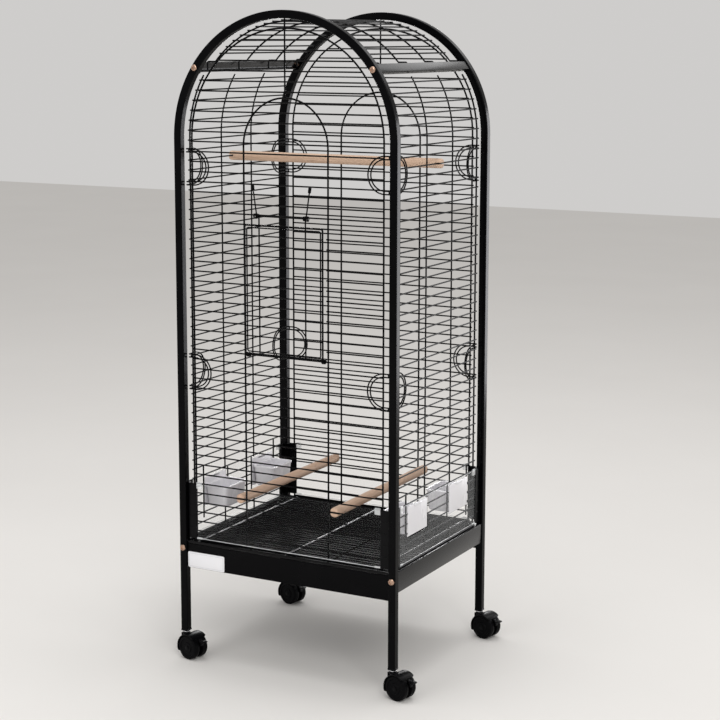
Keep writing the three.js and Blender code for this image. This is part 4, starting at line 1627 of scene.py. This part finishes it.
    def perch(self, node: str, name: str, material: bpy.types.Material, slot: float) -> None:
        """A turned dowel, not quite true, with eased ends and a saw slot in each.

        Args:
            node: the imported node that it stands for.
            name: the piece's name.
            material: its wood.
            slot: how deep the saw slots are.
        """
        low, high = node_box(node)
        middle, size = (low + high) / 2, high - low
        along = max(range(3), key=lambda i: size[i])
        axis = Vector([float(i == along) for i in range(3)])
        half, radius = size[along] / 2, size.z / 2
        second = Vector((0, 0, 1))
        first = axis.cross(second)
        eased = [(half, 0.84), (half - 0.0008, 0.93), (half - 0.0022, 0.985)]
        lengths, sides = 44, 28
        stations = [(-s, share) for s, share in eased]
        stations += [(-half + 0.004 + (2 * half - 0.008) * i / lengths, 1.0) for i in range(lengths + 1)]
        stations += reversed(eased)
        loops = []
        for s, share in stations:
            ring = []
            for i in range(sides):
                turn = 2 * math.pi * i / sides
                slow, quick = math.sin(3 * turn + 40 * s), math.sin(2 * turn + 95 * s)
                girth = radius * share * (1 - 0.012 * (1 + slow) - 0.008 * (1 + quick))
                ring.append(middle + axis * s + (first * math.cos(turn) + second * math.sin(turn)) * girth)
            loops.append(ring)
        maker = Maker()
        maker.loft(loops)
        made = maker.piece(name, "cage", Slot.WOOD, material, [node], smooth=50)
        saw = Maker()
        span = first * (radius + 0.003) + second * self.slot_half
        for sign in (-1, 1):
            tip, root = middle + axis * sign * (half + 0.002), middle + axis * sign * (half - slot)
            saw.block(tuple(tip - span), tuple(root + span), 0.0006, 2)
        carve(made, saw)


@dataclass
class Casters(Part):
    """Four hooded twin-wheel casters with brakes."""

    wheel: float = 0.025
    wheel_width: float = 0.014
    web: float = 0.004
    web_core: float = 0.0178
    run: float = 0.0005
    hood: float = 0.0285
    hood_sheet: float = 0.0024
    hood_span: Pair = (48, 205)
    hood_ribs: tuple[float, ...] = (70, 100, 130)
    rib_span: float = 4
    lever_span: Pair = (12, 44)
    neck_top: float = 0.0530
    stem_radius: float = 0.0055
    stem_inside: float = 0.030
    axle: float = 0.003
    tab_half: Pair = (0.006, 0.008)

    def build(self, joints: dict[str, dict]) -> None:
        """Makes each caster about the joints it turns on.

        Args:
            joints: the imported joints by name.
        """
        for end, side in CORNERS:
            corner = f"{end}_{side}"
            stem = Vector(joints[f"caster_swivel_{corner}"]["pos_m"]) - Maker.origin
            axle = Vector(joints[f"wheel_spin_{corner}"]["pos_m"]) - Maker.origin
            trail = Vector((axle.x - stem.x, axle.y - stem.y, 0))
            turn = math.atan2(trail.y, trail.x)
            place = Matrix.Translation((stem.x, stem.y, 0)) @ Matrix.Rotation(turn, 4, "Z")
            hub = Vector((trail.length, 0, axle.z))
            self.body(corner, place, hub, stem.z)
            self.washer(corner, place, stem.z)
            self.wheels(corner, place, hub)
            self.lever(corner, place, hub)

    def curved(self, hub: Vector, radius: float, turn: float, y: float) -> Vector:
        """A point round the axle, from its radius, its angle in degrees and its place along the axle."""
        t = math.radians(turn)
        return Vector((hub.x + radius * math.cos(t), y, hub.z + radius * math.sin(t)))

    def shell(self, maker: Maker, hub: Vector, span: Pair, half: float, radii: Pair) -> None:
        """A curved cover round the axle with rounded long edges.

        Args:
            maker: the piece it is added to.
            hub: the middle of the axle.
            span: its first and last angle, in degrees.
            half: half its width.
            radii: its inner and outer radius.
        """
        inner, outer = radii
        thick = (outer - inner) / 2
        outline = rounded_outline(half, thick, thick * 0.8, 4)
        steps = 30
        loops = []
        for i in range(steps + 1):
            turn = span[0] + (span[1] - span[0]) * i / steps
            share = 0.8 if i in (0, steps) else 1.0
            loops.append([self.curved(hub, inner + thick + v * share, turn, u * share) for u, v in outline])
        maker.loft(loops)

    def body(self, corner: str, place: Matrix, hub: Vector, leg: float) -> None:
        """The hood, the web between the wheels, the neck and the stem.

        Args:
            corner: which caster it is.
            place: where the caster stands and which way it trails.
            hub: the middle of the axle, from the stem.
            leg: the height of the leg's foot.
        """
        half = self.web + self.run + self.wheel_width + 0.001
        maker = Maker(place)
        self.shell(maker, hub, self.hood_span, half, (self.hood - self.hood_sheet, self.hood))
        rib = (self.hood - 0.0002, self.hood + 0.0006)
        for turn in self.hood_ribs:
            self.shell(maker, hub, (turn, turn + self.rib_span), half * 0.8, rib)
        self.hood_web(maker, hub)
        maker.block((-0.0085, -0.0072, 0.030), (-0.0060, 0.0072, 0.050), 0.0012)
        up, top = Vector((0, 0, 1)), self.neck_top
        neck = [
            (0.0080, top - 0.0065), (0.0084, top - 0.003), (0.0070, top - 0.0005), (0.0068, top),
            (0.0040, top),
        ]
        maker.lathe(neck, Vector(), up, 28)
        r, tip = self.stem_radius, leg + self.stem_inside
        maker.lathe([(r, top - 0.0005), (r, tip - 0.002), (r - 0.001, tip)], Vector(), up, 20)
        cap = [(0.0045, 0.0), (0.0045, 0.0008), (0.003, 0.0012)]
        for sign in (-1, 1):
            y = sign * (self.web + self.run + self.wheel_width)
            maker.lathe(cap, Vector((hub.x, y, hub.z)), Vector((0, sign, 0)), 20)
        name = f"caster_body_{corner}"
        maker.piece(name, f"swivel_{corner}", Slot.CASTER, self.looks.caster, [f"caster_{corner}"])

    def hood_web(self, maker: Maker, hub: Vector) -> None:
        """The plate between the wheels, from the hood down round the axle.

        Args:
            maker: the piece it is added to.
            hub: the middle of the axle.
        """
        rim = [self.curved(hub, self.hood - 0.001, 50 + 153 * i / 24, 0.0) for i in range(25)]
        core = [self.curved(hub, self.web_core, 215 + 180 * i / 16, 0.0) for i in range(17)]
        eased = 0.0006
        levels = ((-self.web, eased), (eased - self.web, 0.0), (self.web - eased, 0.0), (self.web, eased))
        loops = []
        for y, inset in levels:
            loops.append([p - (p - hub).normalized() * inset + Vector((0, y, 0)) for p in rim + core])
        maker.loft(loops)

    def washer(self, corner: str, place: Matrix, leg: float) -> None:
        """The pale washer between the neck and the foot of the leg.

        Args:
            corner: which caster it is on.
            place: where the caster stands.
            leg: the height of the leg's foot.
        """
        foot, top = self.neck_top + 0.0001, leg - 0.0027
        profile = [
            (0.0058, foot), (0.0074, foot), (0.0078, foot + 0.0005), (0.0078, top - 0.0005), (0.0074, top),
            (0.0058, top), (0.0058, foot),
        ]
        maker = Maker(place)
        maker.lathe(profile, Vector(), Vector((0, 0, 1)), 28)
        maker.piece(f"stem_washer_{corner}", f"swivel_{corner}", Slot.CASTER, self.looks.cup)

    def wheels(self, corner: str, place: Matrix, hub: Vector) -> None:
        """Two dished wheels with a stepped tread, on one axle.

        Args:
            corner: which caster they are on.
            place: where the caster stands and which way it trails.
            hub: the middle of the axle, from the stem.
        """
        r, w = self.wheel, self.wheel_width
        start = self.web + self.run
        profile = [
            (0.0035, 0.0), (r - 0.0022, 0.0), (r - 0.0006, 0.0006), (r, 0.0022), (r, w * 0.46),
            (r - 0.0006, w * 0.49), (r - 0.0006, w * 0.53), (r, w * 0.56), (r, w - 0.0026),
            (r - 0.0009, w - 0.0008), (r - 0.0032, w), (r * 0.78, w), (r * 0.74, w - 0.0014),
            (r * 0.46, w - 0.0014), (r * 0.42, w - 0.0002), (r * 0.25, w), (0.0035, w - 0.0006),
            (0.0035, 0.0),
        ]
        maker = Maker(place)
        for sign in (-1, 1):
            maker.lathe(profile, Vector((hub.x, sign * start, hub.z)), Vector((0, sign, 0)), 48)
        reach = start + w - 0.001
        maker.lathe([(self.axle, -reach), (self.axle, reach)], hub, Vector((0, 1, 0)), 16)
        name = f"wheel_pair_{corner}"
        maker.piece(name, f"wheel_{corner}", Slot.WHEEL, self.looks.wheel, [f"wheels_{corner}"], 35)

    def lever(self, corner: str, place: Matrix, hub: Vector) -> None:
        """The brake lever: a blade in the gap between the wheels and a ribbed tab to tread on.

        Args:
            corner: which caster it is on.
            place: where the caster stands and which way it trails.
            hub: the middle of the axle, from the stem.
        """
        half = self.web - self.run
        maker = Maker(place)
        self.shell(maker, hub, self.lever_span, half, (self.hood - 0.003, self.hood))
        pivot = self.curved(hub, self.hood - 0.002, self.lever_span[1], 0.0)
        low, high = pivot.z - 0.004, pivot.z - 0.0015
        maker.block((pivot.x + 0.0015, -half, low), (pivot.x + 0.008, half, high), 0.0009)
        levels = [(-0.0008, low), (0.0, low + 0.0007), (0.0, high - 0.0007), (-0.0008, high)]
        maker.stack(levels, self.tab_half, 0.0035, Vector((pivot.x + 0.012, 0, 0)))
        for step in range(3):
            x = pivot.x + 0.009 + 0.003 * step
            maker.block((x, -0.0055, high - 0.0003), (x + 0.0011, 0.0055, high + 0.0006), 0.0004, 2)
        name = f"brake_lever_{corner}"
        maker.piece(name, f"lever_{corner}", Slot.CASTER, self.looks.caster, [f"brake_{corner}"])


# ---------------------------------------------------------------- the studio


class Reach(Enum):
    """What a light shows in."""

    ALL = "gloss and plain light"
    SHEEN = "gloss only"
    MATT = "plain light only"


@dataclass(frozen=True)
class Studio:
    """A pale floor, soft lights and the camera."""

    camera_place: Point = (1.7149, -3.1109, 1.2825)
    azimuth: float = 28.33
    pitch: float = 9.17
    roll: float = 0.08
    lens: float = 87.41
    rise: float = -0.0597
    floor_half: float = 9.0
    floor_drop: float = 0.0002
    surround: Colour = (0.62, 0.61, 0.60)

    def build(self) -> None:
        """Sets the stage."""
        scene = bpy.context.scene
        scene.view_settings.view_transform = "Standard"
        self.floor()
        self.sky()
        white, warm, cool = (1.0, 1.0, 1.0), (1.0, 0.99, 0.97), (0.97, 0.97, 1.0)
        self.lamp("back_strip", (1.45, 2.55, 0.72), (0, 0, 0.72), (1.0, 1.44), 34.0, cool, Reach.SHEEN)
        self.lamp("back_high", (0.7, 3.0, 2.9), (0, 0, 1.1), (1.6, 1.0), 9.0, white, Reach.SHEEN)
        self.lamp("back_left", (-1.5, 2.8, 1.1), (0, 0, 0.25), (1.2, 0.8), 22.0, white, Reach.SHEEN)
        self.lamp("front_high", (2.9, -3.4, 3.6), (0, 0, 0.7), (2.0, 2.0), 70.0, warm)
        self.lamp("overhead", (0.2, 0.2, 4.0), (0, 0, 0), (2.6, 2.6), 60.0, white)
        self.lamp("front_fill", (-0.7, -3.2, 0.9), (-0.1, 0, 0.4), (1.6, 1.0), 22.0, white, Reach.MATT)
        self.camera()

    def floor(self) -> None:
        """A wide pale sheet just under the wheels."""
        r = self.floor_half
        mesh = bpy.data.meshes.new("studio_floor")
        mesh.from_pydata([(-r, -r, 0), (r, -r, 0), (r, r, 0), (-r, r, 0)], [], [(0, 1, 2, 3)])
        made = bpy.data.objects.new("studio_floor", mesh)
        made.location.z = -self.floor_drop
        bpy.context.scene.collection.objects.link(made)
        g = Graph("pale_floor")
        cloud = g.noise(g.place(), 1.5, 3.0)
        colour = g.mix((0.76, 0.745, 0.725), (0.80, 0.785, 0.765), cloud)
        constant = {"Roughness": 0.9, "Specular IOR Level": 0.0}
        made.data.materials.append(g.principled({"Base Color": colour}, constant))
        log.info("studio floor laid")

    def sky(self) -> None:
        """An even pale surround."""
        world = bpy.data.worlds.new("pale_surround")
        world.use_nodes = True
        surround = world.node_tree.nodes["Background"]
        surround.inputs[0].default_value = (*self.surround, 1.0)
        surround.inputs[1].default_value = 1.0
        bpy.context.scene.world = world

    def lamp(
        self, name: str, place: Point, target: Point, size: Pair, power: float, colour: Colour,
        reach: Reach = Reach.ALL,
    ) -> None:
        """Adds a soft rectangular light.

        Args:
            name: the light's name.
            place: where it stands.
            target: the point it is aimed at.
            size: its width and height.
            power: in watts.
            colour: its colour.
            reach: whether it shows in gloss, in plain light or in both.
        """
        data = bpy.data.lights.new(name, "AREA")
        data.shape, data.size, data.size_y = "RECTANGLE", size[0], size[1]
        data.energy, data.color = power, colour
        made = bpy.data.objects.new(name, data)
        made.location = place
        made.rotation_euler = (Vector(target) - Vector(place)).to_track_quat("-Z", "Y").to_euler()
        made.visible_camera = False
        made.visible_diffuse = reach is not Reach.SHEEN
        made.visible_glossy = reach is not Reach.MATT
        bpy.context.scene.collection.objects.link(made)
        log.info("light %s shows in %s", name, reach.value)

    def camera(self) -> None:
        """The viewing angle: from the front right, a little above the middle."""
        data = bpy.data.cameras.new("view")
        data.lens, data.sensor_width, data.shift_y = self.lens, 36.0, self.rise
        made = bpy.data.objects.new("view", data)
        made.location = self.camera_place
        a, p = math.radians(self.azimuth), math.radians(self.pitch)
        ahead = Vector((-math.sin(a) * math.cos(p), math.cos(a) * math.cos(p), -math.sin(p)))
        lean = Matrix.Rotation(math.radians(self.roll), 4, "Z").to_quaternion()
        made.rotation_euler = (ahead.to_track_quat("-Z", "Y") @ lean).to_euler()
        bpy.context.scene.collection.objects.link(made)
        bpy.context.scene.camera = made


def main() -> None:
    """Builds the whole cage."""
    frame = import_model()
    joints = {joint["name"]: joint for joint in frame["joints"]}
    layout = Layout.read()
    Maker.origin = layout.centre
    looks = Finishes.make()
    Frame(layout, looks).build()
    WireWork(layout, looks).build()
    Door(layout, looks).build(joints["door_drop"], joints["latch_flip"])
    Base(layout, looks).build()
    Fittings(layout, looks).build()
    Casters(layout, looks).build(joints)
    Studio().build()


if __name__ == "__main__":
    logging.basicConfig(level=logging.INFO, format="%(name)s: %(message)s")
    main()
